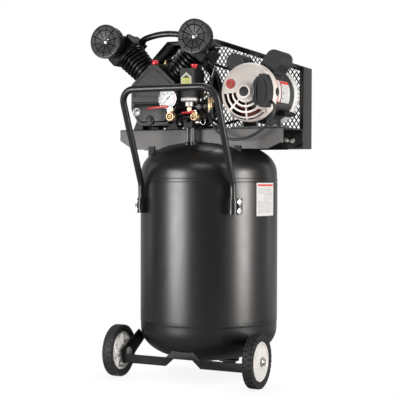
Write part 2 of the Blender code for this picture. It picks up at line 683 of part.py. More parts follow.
# ---------------------------------------------------------------- drive
FLYWHEEL_RADIUS, PULLEY_RADIUS = 0.137, 0.046
SPOKES = 5
BELT_ON_FLYWHEEL, BELT_ON_PULLEY = 0.1325, 0.0415   # belt pitch radii
BELT_SECTION = [         # (outwards from the pitch line, y from the belt's middle)
    (-0.0042, -0.0040), (-0.0042, 0.0040), (0.0042, 0.0058), (0.0042, -0.0058)]


def v_groove(rim, bottom):
    """Profile points of a belt groove in a rim."""
    return [(rim, BELT_MID_Y - 0.0082), (bottom, BELT_MID_Y - 0.0055),
            (bottom, BELT_MID_Y + 0.0055), (rim, BELT_MID_Y + 0.0082)]


def flywheel():
    front, back, inner = BELT_MID_Y - 0.018, BELT_MID_Y + 0.018, 0.1180
    rim = [(inner, front), (FLYWHEEL_RADIUS, front), *v_groove(FLYWHEEL_RADIUS, 0.1235),
           (FLYWHEEL_RADIUS, back), (inner, back)]
    boss_front, boss_back = BELT_MID_Y - 0.0200, BELT_MID_Y + 0.0195
    boss = [(0.0150, boss_front), (0.0280, boss_front), (0.0280, boss_back), (0.0150, boss_back)]
    spoke = [(0.024, -0.013), (0.121, -0.009), (0.121, 0.009), (0.024, 0.013)]
    steps = [(ADD, lathe(boss, CRANK, BACK, 20))]
    for k in range(SPOKES):
        out = direction_xz(2 * math.pi * (k + 0.25) / SPOKES)
        steps.append((ADD, prism(spoke, BELT_MID_Y - 0.007, BELT_MID_Y + 0.007, CRANK,
                                 first=out, second=quarter_turn(out))))
    return combine(lathe(rim, CRANK, BACK, 32), *steps)


def motor_pulley():
    front, back, bore = BELT_MID_Y - 0.018, BELT_MID_Y + 0.016, 0.0084
    return lathe([(bore, front), (PULLEY_RADIUS, front), *v_groove(PULLEY_RADIUS, 0.0330),
                  (PULLEY_RADIUS, back), (bore, back)], MOTOR, BACK, 20)


def v_belt():
    crank, motor = Vector((CRANK_X, CRANK_Z)), Vector((MOTOR_X, MOTOR_Z))
    line = motor - crank
    spread = math.acos((BELT_ON_FLYWHEEL - BELT_ON_PULLEY) / line.length)
    base = math.atan2(line.y, line.x)
    arcs = (             # centre, pitch radius, start angle, swept angle, steps
        (crank, BELT_ON_FLYWHEEL, base + spread, 2 * math.pi - 2 * spread, 22),
        (motor, BELT_ON_PULLEY, base - spread, 2 * spread, 10))
    rings = []
    for centre, radius, start, swept, steps in arcs:
        for i in range(steps + 1):
            angle = start + swept * i / steps
            rings.append([(centre.x + (radius + out) * math.cos(angle), BELT_MID_Y + y,
                           centre.y + (radius + out) * math.sin(angle))
                          for out, y in BELT_SECTION])
    return join_rings(rings)


add_piece("flywheel", flywheel(), CAST_BLACK, (CRANK_X, BELT_MID_Y, CRANK_Z))
add_piece("motor_pulley", motor_pulley(), IRON, (MOTOR_X, BELT_MID_Y, MOTOR_Z))
add_piece("v_belt", v_belt(), RUBBER)

# ---------------------------------------------------------------- motor
# Profiles are (radius, y) about the motor's shaft.
MOTOR_RADIUS, MOTOR_BORE = 0.0915, 0.0860
BELL_RADIUS = 0.0937
BELL_OUTSIDE = [
    (BELL_RADIUS, -0.1050), (BELL_RADIUS, -0.1180), (0.0895, -0.1290), (0.0790, -0.1378),
    (0.0500, -0.1436), (0.0300, -0.1452), (0.0285, -0.1495), (0.0222, -0.1545),
    (0.0212, -0.1605), (0, -0.1605)]
BELL_INSIDE = [
    (0, -0.1430), (0.0300, -0.1430), (0.0500, -0.1415), (0.0755, -0.1350), (0.0860, -0.1265),
    (0.0885, -0.1175), (0.0885, -0.1050)]
REAR_BELL = [
    (BELL_RADIUS, 0.0520), (0.0885, 0.0520), (0.0885, 0.0700), (0.0700, 0.0880),
    (0.0300, 0.0895), (0.0095, 0.0895), (0.0095, 0.0935), (0.0700, 0.0935), (0.0880, 0.0850),
    (BELL_RADIUS, 0.0740)]
STATOR = [
    (0.0852, -0.070), (0.0852, 0.034), (0.0750, 0.034), (0.0750, 0.048), (0.0560, 0.048),
    (0.0560, 0.034), (0.0515, 0.034), (0.0515, -0.070), (0.0560, -0.070), (0.0560, -0.094),
    (0.0780, -0.094), (0.0780, -0.070)]
ROTOR = [
    (0, -0.1425), (0.0080, -0.1425), (0.0080, -0.066), (0.0505, -0.066), (0.0505, 0.030),
    (0.0080, 0.030), (0.0080, 0.058), (0.0660, 0.058), (0.0660, 0.062), (0.0080, 0.062),
    (0.0080, 0.1500), (0, 0.1500)]
RESET = (MOTOR_X - 0.055, 0, MOTOR_Z + 0.0276)
RESET_BUTTON = [
    (0, -0.1370), (0.0080, -0.1370), (0.0080, -0.1510), (0.0060, -0.1525), (0, -0.1525)]
TERMINAL_OUTLINE = [     # (x, z) from the shaft
    (0.0345, 0.0), (0.0310, 0.0160), (0.0330, 0.0300), (0.0435, 0.0440), (0.0500, 0.0455),
    (0.0520, 0.0520), (0.0735, 0.0520), (0.0830, 0.0330), (0.0885, 0.0100), (0.0885, -0.0100),
    (0.0850, -0.0300), (0.0770, -0.0505), (0.0520, -0.0500), (0.0505, -0.0440),
    (0.0400, -0.0430), (0.0300, -0.0330), (0.0310, -0.0160)]
CAPACITORS = (           # side, angle from +X in degrees, front y, back y
    ("right", 54, -0.104, -0.004), ("left", 126, -0.062, 0.040))


def motor_shell():
    """Open tube on a base plate with two upright ribs."""
    steps = [(ADD, box(MOTOR_X - 0.078, MOTOR_X + 0.078, -0.072, 0.046,
                       DECK_Z + GAP, DECK_Z + 0.005))]
    for side, _ in SIDES:
        left, right = sorted((MOTOR_X + side * 0.040, MOTOR_X + side * 0.046))
        steps.append((ADD, box(left, right, -0.068, 0.042, DECK_Z + 0.002, MOTOR_Z - 0.072)))
    steps.append((CUT, rod(MOTOR_BORE, -0.120, 0.070, MOTOR, BACK, 28)))
    return combine(rod(MOTOR_RADIUS, -0.1045, 0.0515, MOTOR, BACK, 28), *steps)


def motor_front_bell():
    """Dished cover with a shaft hole and a boss for the reset button."""
    return combine(lathe(BELL_OUTSIDE + BELL_INSIDE, MOTOR, BACK, 28),
                   (CUT, rod(0.0090, -0.1460, -0.1300, MOTOR, BACK)),
                   (ADD, rod(0.0145, -0.1475, -0.1400, RESET, BACK)),
                   (CUT, rod(0.0085, -0.1600, -0.1300, RESET, BACK)))


def capacitor_cover(angle, front, back):
    """A round-topped hollow cover standing out from the shell at the given angle."""
    out = direction_xz(angle)

    def arch(half, low, front, back):
        middle = 0.1310
        outline = [(-half, low)]
        for i in range(9):
            turn = math.pi * i / 8
            outline.append((-half * math.cos(turn), middle + half * math.sin(turn)))
        outline.append((half, low))
        return prism(outline, front, back, MOTOR, first=quarter_turn(out), second=out)

    return combine(arch(0.0270, 0.0950, front, back),
                   (CUT, arch(0.0250, 0.0900, front + 0.002, back - 0.002)))


def terminal_cover():
    """A block fitted over the front bell, with a clearance all round."""
    clearance = 0.0006
    grown = [(radius + clearance if radius else 0, y - (clearance if i else 0))
             for i, (radius, y) in enumerate(BELL_OUTSIDE)]
    tool = [(0, -0.100), (grown[0][0], -0.100)] + grown
    outline = [(MOTOR_X + x, MOTOR_Z + z) for x, z in TERMINAL_OUTLINE]
    return combine(prism(outline, -0.1615, -0.1180), (CUT, lathe(tool, MOTOR, BACK, 28)))


add_piece("motor_shell", motor_shell(), PLASTIC)
add_piece("motor_front_bell", motor_front_bell(), ALUMINIUM)
add_piece("motor_rear_bell", lathe(REAR_BELL, MOTOR, BACK, 28), ALUMINIUM)
add_piece("motor_stator", lathe(STATOR, MOTOR, BACK, 20), COPPER)
add_piece("motor_rotor", lathe(ROTOR, MOTOR, BACK, 18), STEEL, MOTOR)
add_piece("reset_button", lathe(RESET_BUTTON, RESET, BACK, 16), RED,
          (RESET[0], -0.1475, RESET[2]))
for word, degrees, front, back in CAPACITORS:
    add_piece("capacitor_cover_" + word, capacitor_cover(math.radians(degrees), front, back),
              PLASTIC)
add_piece("terminal_cover", terminal_cover(), PLASTIC)

# ---------------------------------------------------------------- controls
SWITCH_LEFT, SWITCH_RIGHT = -0.026, 0.028
SWITCH_FRONT, SWITCH_BACK = -0.168, -0.098
SWITCH_LOW_Z, SWITCH_TOP_Z = 0.912, 1.006
SWITCH_CHAMFER = 0.004
KNOB_X, KNOB_Y = 0.012, -0.140
OUTLET_Y, OUTLET_Z = -0.168, 0.850   # the cross pipe that carries the valves
STEM_X = -0.008
PIPE_XS, PIPE_Y = (-0.0158, 0.0015), -0.128
GAUGE = (-0.0600, 0, 0.9085)
VALVE_Y, PIVOT_Y = -0.1768, -0.205
VALVES = (               # side, x, lever z, lever reach, lever direction in degrees from +X
    ("left", -0.0385, 0.8810, 0.086, 180.0), ("right", 0.0460, 0.8668, 0.071, 260.0))
REGULATOR_X, REGULATOR_Y = 0.0195, -0.192
REGULATOR = (REGULATOR_X, REGULATOR_Y, 0)
SAFETY = (0, PIPE_Y, 0.835)


def pressure_switch():
    left, right, low, top = SWITCH_LEFT, SWITCH_RIGHT, SWITCH_LOW_Z, SWITCH_TOP_Z
    cut = SWITCH_CHAMFER
    outline = [(left + cut, low), (right - cut, low), (right, low + cut), (right, top - cut),
               (right - cut, top), (left + cut, top), (left, top - cut), (left, low + cut)]
    knob_hole = rod(0.0048, top - 0.014, top + 0.01, (KNOB_X, KNOB_Y, 0), segments=14)
    return combine(prism(outline, SWITCH_FRONT, SWITCH_BACK), (CUT, knob_hole))


def pressure_switch_knob():
    return lathe([(0, 0.9945), (0.0042, 0.9945), (0.0042, 1.0066), (0.0112, 1.0066),
                  (0.0112, 1.0160), (0.0090, 1.0205), (0, 1.0205)],
                 (KNOB_X, KNOB_Y, 0), segments=16)


def manifold_block():
    """Block on two pipes from the tank, with a stem to the switch and the cross pipe."""
    steps = [(ADD, rod(0.0062, 0.745, 0.820, (x, PIPE_Y, 0), segments=12)) for x in PIPE_XS]
    stem = rod(0.0100, 0.850, SWITCH_LOW_Z - GAP, (STEM_X, PIPE_Y, 0), segments=14)
    cross_pipe = rod(0.0085, -0.066, 0.058, (0, OUTLET_Y, OUTLET_Z), RIGHT, 14)
    link = rod(0.0085, -0.168, -0.140, (STEM_X, 0, 0.842), BACK, 14)
    steps += [(ADD, stem), (ADD, cross_pipe), (ADD, link), cut_by_tank()]
    return combine(box(-0.021, 0.010, -0.150, -0.112, 0.8165, 0.853), *steps)


def gauge_case():
    """A cup open to the front, with its stem down to the cross pipe."""
    case = [(0, -0.168), (0.0320, -0.168), (0.0330, -0.1885), (0.0322, -0.1900),
            (0.0303, -0.1900), (0.0303, -0.1862), (0, -0.1862)]
    stem = rod(0.0048, -0.0493, -0.0290, (GAUGE[0], -0.1745, GAUGE[2]), segments=12)
    return combine(lathe(case, GAUGE, BACK), (ADD, stem))


def gauge_needle():
    out = direction_xz(math.radians(225))
    pointer = [(-0.012, -0.0010), (0.0250, -0.0004), (0.0250, 0.0004), (-0.012, 0.0010)]
    return combine(rod(0.0030, -0.1884, -0.1868, GAUGE, BACK, 12),
                   (ADD, prism(pointer, -0.1881, -0.1871, GAUGE,
                               first=out, second=quarter_turn(out))))


def ball_valve_body(x, lever_z):
    profile = [(0, VALVE_Y), (0.0100, VALVE_Y), (0.0100, -0.186), (0.0145, -0.189),
               (0.0145, -0.211), (0.0130, -0.213), (0.0130, -0.2235), (0, -0.2235)]
    centre = (x, 0, OUTLET_Z)
    stem = rod(0.0060, 0.0, lever_z - GAP - OUTLET_Z, (x, PIVOT_Y, OUTLET_Z), segments=12)
    return combine(lathe(profile, centre, BACK, 18),
                   (ADD, stem), (CUT, rod(0.0085, -0.2300, -0.2120, centre, BACK, 14)))


def ball_valve_lever(pivot, reach, angle):
    """A thin strip that droops towards its tip, with a round boss on the pivot."""
    out = Vector((math.cos(angle), math.sin(angle), 0))
    beside = Vector((-math.sin(angle), math.cos(angle), 0))
    sheet, drop = 0.0024, 0.0045
    strip = [(-0.006, 0), (0.014, 0), (reach, -drop), (reach, -drop + sheet),
             (0.014, sheet), (-0.006, sheet)]
    return combine(prism(strip, -0.0048, 0.0048, pivot, first=out, second=UP, along=beside),
                   (ADD, rod(0.0072, 0, 0.0055, pivot, segments=12)))


def regulator_body():
    profile = [(0, 0.8690), (0.0065, 0.8690), (0.0065, 0.8800), (0.0125, 0.8820),
               (0.0125, 0.8950), (0.0060, 0.8960), (0.0060, 0.8972), (0, 0.8972)]
    arm = box(REGULATOR_X - 0.006, REGULATOR_X + 0.006, REGULATOR_Y, -0.162, 0.8592, 0.8730)
    return combine(lathe(profile, REGULATOR, segments=16), (ADD, arm))


def regulator_knob():
    return lathe([(0, 0.8976), (0.0225, 0.8976), (0.0242, 0.8995), (0.0242, 0.9070),
                  (0.0225, 0.9090), (0.0120, 0.9098), (0, 0.9098)], REGULATOR)


def safety_valve_body():
    return combine(hexagon(0.0090, 0.0103, 0.0160, SAFETY, RIGHT),
                   (ADD, rod(0.0072, 0.0155, 0.0250, SAFETY, RIGHT, 14)),
                   (CUT, rod(0.0026, 0.0145, 0.0500, SAFETY, RIGHT, 10)))


def safety_valve_ring():
    """A wire pull ring on a short pin."""
    ring_radius, wire_radius = 0.0085, 0.0012
    middle = Vector(SAFETY) + RIGHT * 0.0380
    rings = []
    for i in range(12):
        angle = 2 * math.pi * i / 12
        out = Vector((-math.cos(angle), 0, math.sin(angle)))
        turns = [2 * math.pi * k / 6 for k in range(6)]
        rings.append([middle + out * (ring_radius + wire_radius * math.cos(turn))
                      + BACK * (wire_radius * math.sin(turn)) for turn in turns])
    return combine(join_rings(rings), (ADD, rod(0.0020, 0.0160, 0.0300, SAFETY, RIGHT, 10)))


add_piece("pressure_switch", pressure_switch(), PLASTIC)
add_piece("pressure_switch_knob", pressure_switch_knob(), RED, (KNOB_X, KNOB_Y, SWITCH_TOP_Z))
add_piece("manifold_block", manifold_block(), BLACK)
add_piece("gauge_case", gauge_case(), ZINC)
add_piece("gauge_needle", gauge_needle(), PLASTIC, (GAUGE[0], -0.1875, GAUGE[2]))
for word, x, lever_z, reach, degrees in VALVES:
    pivot = (x, PIVOT_Y, lever_z)
    add_piece("ball_valve_body_" + word, ball_valve_body(x, lever_z), BRASS)
    add_piece("ball_valve_lever_" + word,
              ball_valve_lever(pivot, reach, math.radians(degrees)), RED, pivot)
add_piece("regulator_body", regulator_body(), ZINC)
add_piece("regulator_knob", regulator_knob(), ZINC, (REGULATOR_X, REGULATOR_Y, 0.8976))
add_piece("safety_valve_body", safety_valve_body(), BRASS)
add_piece("safety_valve_ring", safety_valve_ring(), ZINC, SAFETY)
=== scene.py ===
"""Vertical tank air compressor: the visual model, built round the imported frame.

Metres, +Z up, front towards -Y, left towards -X. The tank stands upright, with the wheels at its
front and a foot pad behind. The deck on top carries the pump on the left and the motor on the
right, with the belt drive behind them. Coordinates are measured from the tank's axis at ground
level, and piece() moves them to the frame.
"""
import math
import random
from math import cos, hypot, pi, radians, sin, tau

import bmesh
import bpy
from mathutils import Matrix, Vector


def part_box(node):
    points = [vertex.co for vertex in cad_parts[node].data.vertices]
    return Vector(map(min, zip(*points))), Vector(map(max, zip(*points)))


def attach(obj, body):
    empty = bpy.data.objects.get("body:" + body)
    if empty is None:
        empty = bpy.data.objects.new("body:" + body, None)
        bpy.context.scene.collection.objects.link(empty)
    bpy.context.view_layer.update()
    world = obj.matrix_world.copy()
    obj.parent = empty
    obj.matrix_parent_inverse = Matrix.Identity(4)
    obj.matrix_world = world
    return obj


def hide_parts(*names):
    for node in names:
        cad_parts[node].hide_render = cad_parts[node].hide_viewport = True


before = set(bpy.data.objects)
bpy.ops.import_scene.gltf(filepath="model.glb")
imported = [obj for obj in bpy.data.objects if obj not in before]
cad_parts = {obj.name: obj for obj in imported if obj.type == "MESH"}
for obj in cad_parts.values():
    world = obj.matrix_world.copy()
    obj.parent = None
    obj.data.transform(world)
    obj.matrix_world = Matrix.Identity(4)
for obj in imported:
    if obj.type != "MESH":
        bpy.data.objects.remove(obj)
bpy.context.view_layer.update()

low_corner, high_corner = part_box("tank_shell")
TANK_AXIS = Vector(((low_corner[0] + high_corner[0]) / 2, (low_corner[1] + high_corner[1]) / 2, 0.0))
RIGHT, UP, BACK = Vector((1, 0, 0)), Vector((0, 0, 1)), Vector((0, 1, 0))
X, Y, Z, FORWARD = (1, 0, 0), (0, 1, 0), (0, 0, 1), (0, -1, 0)
SIDES = ((-1, "left"), (1, "right"))
scene = bpy.context.scene


# ================================================================ shader helpers
def feed(tree, target, inputs):
    """Set each input of a node to a value, or link it to the output given."""
    for key, value in inputs.items():
        if isinstance(value, bpy.types.NodeSocket):
            tree.links.new(value, target.inputs[key])
        else:
            target.inputs[key].default_value = value


def node(tree, kind, inputs=None, **settings):
    made = tree.nodes.new("ShaderNode" + kind)
    for key, value in settings.items():
        setattr(made, key, value)
    feed(tree, made, inputs or {})
    return made


def remap(tree, value, source=(0, 1), target=(0, 1)):
    return node(tree, "MapRange", {
        "From Min": source[0], "From Max": source[1], "To Min": target[0], "To Max": target[1],
        "Value": value}).outputs["Result"]


def noise(tree, scale, **inputs):
    return node(tree, "TexNoise", {"Scale": scale, **inputs}).outputs["Fac"]


def dot(tree, first, second):
    return node(tree, "VectorMath", {0: first, 1: second},
                operation="DOT_PRODUCT").outputs["Value"]


def blend(tree, factor, first, second):
    return node(tree, "Mix", {"Factor": factor, "A": first, "B": second},
                data_type="RGBA").outputs["Result"]


# ================================================================ materials
def material(name, colour, rough, metal=0.0, grain=(900, 0.10), mottle=(14, 0.06), vary=0.05,
             edge=None, coat=0.0, spec=0.5, tint=None, round_edge=0.0006):
    """A Principled material.

    grain: scale and strength of the bump. mottle: scale and depth of the colour change, which
    runs towards tint. vary: spread of the roughness. edge: colour, width and amount of a paler
    edge band, part real wear and part painted highlight.
    round_edge: radius by which the shading rounds the edges.
    """
    made = bpy.data.materials.new(name)
    made.use_nodes = True
    tree = made.node_tree
    shader = tree.nodes["Principled BSDF"]
    feed(tree, shader, {"Metallic": metal, "Specular IOR Level": spec, "Coat Weight": coat,
                        "Coat Roughness": 0.15})
    place = node(tree, "TexCoord").outputs["Object"]
    # colour mottling
    ramp = node(tree, "ValToRGB",
                {"Fac": noise(tree, mottle[0], Detail=5, Roughness=0.6, Vector=place)})
    dark, light = ramp.color_ramp.elements
    dark.position, light.position = 0.3, 0.7
    dark.color = (*[c * (1 - mottle[1] * 2) for c in colour], 1)
    light.color = (*[min(1.0, c * (1 + mottle[1] * 2)) for c in (tint or colour)], 1)
    base = ramp.outputs["Color"]
    # uneven roughness
    uneven = remap(tree, noise(tree, mottle[0] * 3.7, Detail=3, Vector=place), (0.25, 0.75),
                   (max(0.02, rough - vary), min(1.0, rough + vary)))
    # rounded edges, and a paler edge band where a wider rounding turns the normal: part real wear,
    # part painted highlight
    rounding = node(tree, "Bevel", {"Radius": round_edge}, samples=4)
    if edge:
        wear_and_highlight_colour, width, amount = edge
        normal = node(tree, "NewGeometry").outputs["Normal"]
        wide = node(tree, "Bevel", {"Radius": width}, samples=4).outputs["Normal"]
        wear_and_highlight = remap(tree, dot(tree, wide, normal), (0.985, 0.86), (0.0, amount))
        base = blend(tree, wear_and_highlight, base, (*wear_and_highlight_colour, 1))
    # fine grain
    bump = node(tree, "Bump", {
        "Strength": grain[1], "Distance": 0.0006, "Normal": rounding.outputs["Normal"],
        "Height": noise(tree, grain[0], Detail=2, Vector=place)})
    feed(tree, shader, {"Roughness": uneven, "Base Color": base, "Normal": bump.outputs["Normal"]})
    made.diffuse_color = (*colour, 1)
    return made


# colour of the pale edge band on black finishes: part real wear, part painted highlight
EDGE_WEAR_AND_HIGHLIGHT_GREY = (0.10, 0.10, 0.10)
COAT_GRAIN = dict(grain=(760, 0.09), mottle=(18, 0.08))
COAT_EDGE = (EDGE_WEAR_AND_HIGHLIGHT_GREY, 0.0012, 0.35)
CASTING = dict(grain=(420, 0.30), mottle=(30, 0.12), vary=0.08)
HUB_GRAIN = dict(grain=(900, 0.12), mottle=(26, 0.05), vary=0.06)
LABEL = dict(grain=(1500, 0.04), mottle=(10, 0.015), vary=0.03)
INK = (1500, 0.04)

TANK = material("tank_powder_coat", (0.0072, 0.0069, 0.0067), rough=0.33, grain=(620, 0.055),
                mottle=(9, 0.05), vary=0.03, spec=0.55, edge=(EDGE_WEAR_AND_HIGHLIGHT_GREY, 0.0012, 0.2))
POWDER = material("black_powder_coat", (0.0078, 0.0076, 0.0078), rough=0.35, edge=COAT_EDGE,
                  **COAT_GRAIN)
# a paler copy of the black powder coat: painted light, used on the motor body
POWDER_PAINTED_LIGHT = material("powder_coat_painted_light", (0.0230, 0.0222, 0.0225), rough=0.42,
                       edge=COAT_EDGE, **COAT_GRAIN)
CAST = material("black_enamelled_casting", (0.0062, 0.0062, 0.0066), rough=0.33, spec=0.46,
                edge=(EDGE_WEAR_AND_HIGHLIGHT_GREY, 0.0008, 0.15), round_edge=0.0008, **CASTING)
CAST_FLAT = material("black_casting_matt", (0.0058, 0.0058, 0.0062), rough=0.42, spec=0.18,
                     edge=(EDGE_WEAR_AND_HIGHLIGHT_GREY, 0.0010, 0.12), round_edge=0.0010, **CASTING)
FILTER = material("filter_plastic", (0.0185, 0.0182, 0.0200), rough=0.42, grain=(900, 0.030),
                  mottle=(30, 0.06), vary=0.04, spec=0.42, edge=((0.12, 0.12, 0.13), 0.0009, 0.4))
CASE = material("grey_black_crankcase", (0.0084, 0.0082, 0.0088), rough=0.42, grain=(520, 0.14),
                mottle=(22, 0.10), vary=0.06, spec=0.30, edge=((0.16, 0.16, 0.16), 0.0016, 0.45),
                round_edge=0.0012)
PLASTIC = material("black_grained_plastic", (0.0090, 0.0088, 0.0098), rough=0.44,
                   grain=(900, 0.040), mottle=(40, 0.05), spec=0.30,
                   edge=((0.10, 0.10, 0.11), 0.0009, 0.35))
PLASTIC_DARK = material("black_plastic_recess", (0.0085, 0.0085, 0.0095), rough=0.55,
                        grain=(1500, 0.25), mottle=(40, 0.05), spec=0.35)
RUBBER = material("tyre_rubber", (0.0120, 0.0120, 0.0122), rough=0.62, grain=(900, 0.35),
                  mottle=(55, 0.18), vary=0.10, spec=0.35, edge=((0.06, 0.06, 0.06), 0.0010, 0.4))
BELT = material("belt_rubber", (0.012, 0.012, 0.012), rough=0.62, grain=(1400, 0.4),
                mottle=(80, 0.12), spec=0.3)
HUB = material("hub_off_white", (0.60, 0.585, 0.57), rough=0.46,
               edge=((0.86, 0.85, 0.83), 0.0010, 0.5), **HUB_GRAIN)
FRAME = material("frame_powder_coat", (0.0040, 0.0038, 0.0040), rough=0.42, spec=0.14,
                 **COAT_GRAIN)
# paler than the hub colour: painted light for the floor of the hub's pocket
HUB_POCKET_PAINTED_LIGHT = material("hub_pocket_painted_light", (0.80, 0.79, 0.77), rough=0.5, **HUB_GRAIN)
ZINC = material("zinc_plated_steel", (0.52, 0.52, 0.53), rough=0.34, metal=1.0,
                grain=(1100, 0.10), mottle=(60, 0.10), vary=0.08, tint=(0.56, 0.55, 0.51))
CHROME = material("bright_chrome", (0.56, 0.56, 0.57), rough=0.20, metal=1.0, grain=(300, 0.02),
                  mottle=(20, 0.02), vary=0.03)
STEEL = material("machined_steel", (0.50, 0.50, 0.51), rough=0.32, metal=1.0,
                 grain=(1500, 0.12), mottle=(40, 0.08), vary=0.08)
DIE = material("die_cast_cream_silver", (0.69, 0.630, 0.585), rough=0.46, metal=0.08,
               grain=(620, 0.16), mottle=(16, 0.035), spec=0.55,
               edge=((0.86, 0.82, 0.78), 0.0014, 0.5))
SILVER = material("silver_rear_bell", (0.70, 0.69, 0.68), rough=0.44, metal=0.10,
                  grain=(620, 0.16), mottle=(16, 0.04))
BRASS = material("bare_brass", (0.40, 0.285, 0.155), rough=0.36, metal=1.0, grain=(900, 0.08),
                 mottle=(45, 0.12), vary=0.07, tint=(0.46, 0.345, 0.21),
                 edge=((0.76, 0.66, 0.50), 0.0007, 0.45))
# a darker copy of the brass: painted shade on the floors of bores and grooves
BRASS_PAINTED_SHADE = material("brass_bore_painted_shade", (0.20, 0.11, 0.035), rough=0.45, metal=1.0,
                      grain=(900, 0.1), mottle=(60, 0.2))
RED = material("red_lever_vinyl", (0.62, 0.020, 0.028), rough=0.30, grain=(1000, 0.12),
               mottle=(40, 0.08), coat=0.15, edge=((0.85, 0.12, 0.12), 0.0008, 0.4))
RED_PLASTIC = material("red_gloss_plastic", (0.70, 0.022, 0.035), rough=0.28,
                       grain=(1200, 0.10), mottle=(40, 0.05), coat=0.2,
                       edge=((0.90, 0.20, 0.18), 0.0007, 0.4))
RED_SOFT = material("red_bezel", (0.60, 0.075, 0.085), rough=0.42, grain=(1200, 0.2),
                    mottle=(50, 0.08))
WINDING = material("varnished_winding", (0.115, 0.012, 0.010), rough=0.42, metal=0.2,
                   grain=(700, 0.6), mottle=(90, 0.35), vary=0.12, tint=(0.20, 0.03, 0.02))
LABEL_WHITE = material("bright_label", (0.80, 0.80, 0.79), rough=0.5, **LABEL)
PAPER = material("white_label", (0.60, 0.60, 0.59), rough=0.45, **LABEL)
DIAL = material("white_dial", (0.93, 0.93, 0.95), rough=0.5, grain=(1500, 0.03),
                mottle=(20, 0.015), vary=0.03)
PRINT_GREY = material("label_print_grey", (0.30, 0.30, 0.31), rough=0.5, grain=INK,
                      mottle=(60, 0.15))
PRINT_BLACK = material("label_print_black", (0.03, 0.03, 0.035), rough=0.5, grain=INK,
                       mottle=(60, 0.1))
PRINT_RED = material("label_print_red", (0.62, 0.035, 0.030), rough=0.42, grain=INK,
                     mottle=(30, 0.05))
PRINT_PINK = material("dial_scale_red", (0.78, 0.30, 0.34), rough=0.5, grain=INK,
                      mottle=(30, 0.05))
PRINT_YELLOW = material("label_print_yellow", (0.56, 0.56, 0.10), rough=0.45, grain=INK,
                        mottle=(30, 0.05))
# the deck's base colour is paler than the other black powder coat: painted light
DECK = material("deck_powder_coat_painted_light", (0.0130, 0.0126, 0.0124), rough=0.50, grain=(760, 0.10),
                mottle=(10, 0.06), edge=COAT_EDGE)


def paint_light_on_front(made, colour):
    """Paint light on faces turned to the front, near the front only, as a paler base colour."""
    tree = made.node_tree
    base = tree.nodes["Principled BSDF"].inputs["Base Color"]
    geometry = node(tree, "NewGeometry")
    facing = remap(tree, dot(tree, geometry.outputs["Normal"], FORWARD), (0.6, 0.98))
    place = node(tree, "SeparateXYZ", {"Vector": geometry.outputs["Position"]})
    front = node(tree, "Math", {0: place.outputs["Y"], 1: TANK_AXIS.y - 0.09},
                 operation="LESS_THAN")
    both = node(tree, "Math", {0: facing, 1: front.outputs["Value"]}, operation="MULTIPLY")
    pale = blend(tree, both.outputs["Value"], base.links[0].from_socket, (*colour, 1))
    tree.links.new(pale, base)


# painted light: the deck's front faces turn paler still
paint_light_on_front(DECK, (0.088, 0.085, 0.083))
SATIN = material("satin_white_metal", (0.50, 0.49, 0.48), rough=0.36, metal=0.45,
                 grain=(900, 0.08), mottle=(40, 0.05), edge=((0.85, 0.85, 0.84), 0.0007, 0.5))
GASKET = material("gasket_grey", (0.045, 0.044, 0.043), rough=0.6, grain=(900, 0.2),
                  mottle=(60, 0.15), spec=0.25)
DULL = material("dull_nickel", (0.30, 0.30, 0.31), rough=0.34, metal=0.7, grain=(900, 0.08),
                mottle=(40, 0.08))
ROTOR = material("laminated_rotor", (0.045, 0.036, 0.032), rough=0.55, metal=0.6,
                 grain=(900, 0.2), mottle=(60, 0.2))
GLASS_GREY = material("sight_window_grey", (0.085, 0.085, 0.088), rough=0.18,
                      grain=(900, 0.04), mottle=(60, 0.2), coat=0.6)
# pale grey for painted reflection streaks on the sight window
SIGHT_PAINTED_REFLECTION = material("sight_window_painted_reflection", (0.24, 0.24, 0.245), rough=0.40,
                      grain=(900, 0.1), mottle=(60, 0.15))
GLOSS = material("black_gloss_pipe", (0.012, 0.012, 0.012), rough=0.16, grain=(700, 0.03),
                 mottle=(30, 0.08), vary=0.03, spec=0.7)
CABLE = material("cable_pvc", (0.016, 0.016, 0.017), rough=0.42, grain=(1100, 0.15),
                 mottle=(50, 0.08))
# near-black painted shade for the floors of grooves, vents and slots
PAINTED_SHADE = material("painted_shade_dark", (0.004, 0.004, 0.004), rough=0.8, grain=(900, 0.1),
                  mottle=(20, 0.1), spec=0.1)


def lens(name):
    """Clear to look through, with a faint reflection that grows at glancing angles."""
    made = bpy.data.materials.new(name)
    made.use_nodes = True
    tree = made.node_tree
    tree.nodes.remove(tree.nodes["Principled BSDF"])
    clear = node(tree, "BsdfTransparent", {"Color": (0.99, 0.995, 0.995, 1)})
    roughness = remap(tree, noise(tree, 40), target=(0.03, 0.07))
    shine = node(tree, "BsdfGlossy", {"Roughness": roughness})
    glancing = node(tree, "Fresnel", {"IOR": 1.12})
    mix = node(tree, "MixShader", {"Fac": glancing.outputs["Fac"], 1: clear.outputs["BSDF"],
                                   2: shine.outputs["BSDF"]})
    feed(tree, tree.nodes["Material Output"], {"Surface": mix.outputs["Shader"]})
    return made


LENS = lens("clear_lens")


# ================================================================ outlines and paths
def arc(centre, radius, degrees):
    return [(centre[0] + radius * cos(radians(a)), centre[1] + radius * sin(radians(a)))
            for a in degrees]


def curve_corner(corner, to_last, to_next, cut, steps):
    """Points of a quadratic curve that starts and ends at distance cut from the corner."""
    start, end = corner + to_last.normalized() * cut, corner + to_next.normalized() * cut
    return [tuple(start * (1 - t) ** 2 + corner * 2 * t * (1 - t) + end * t * t)
            for t in (j / steps for j in range(steps + 1))]


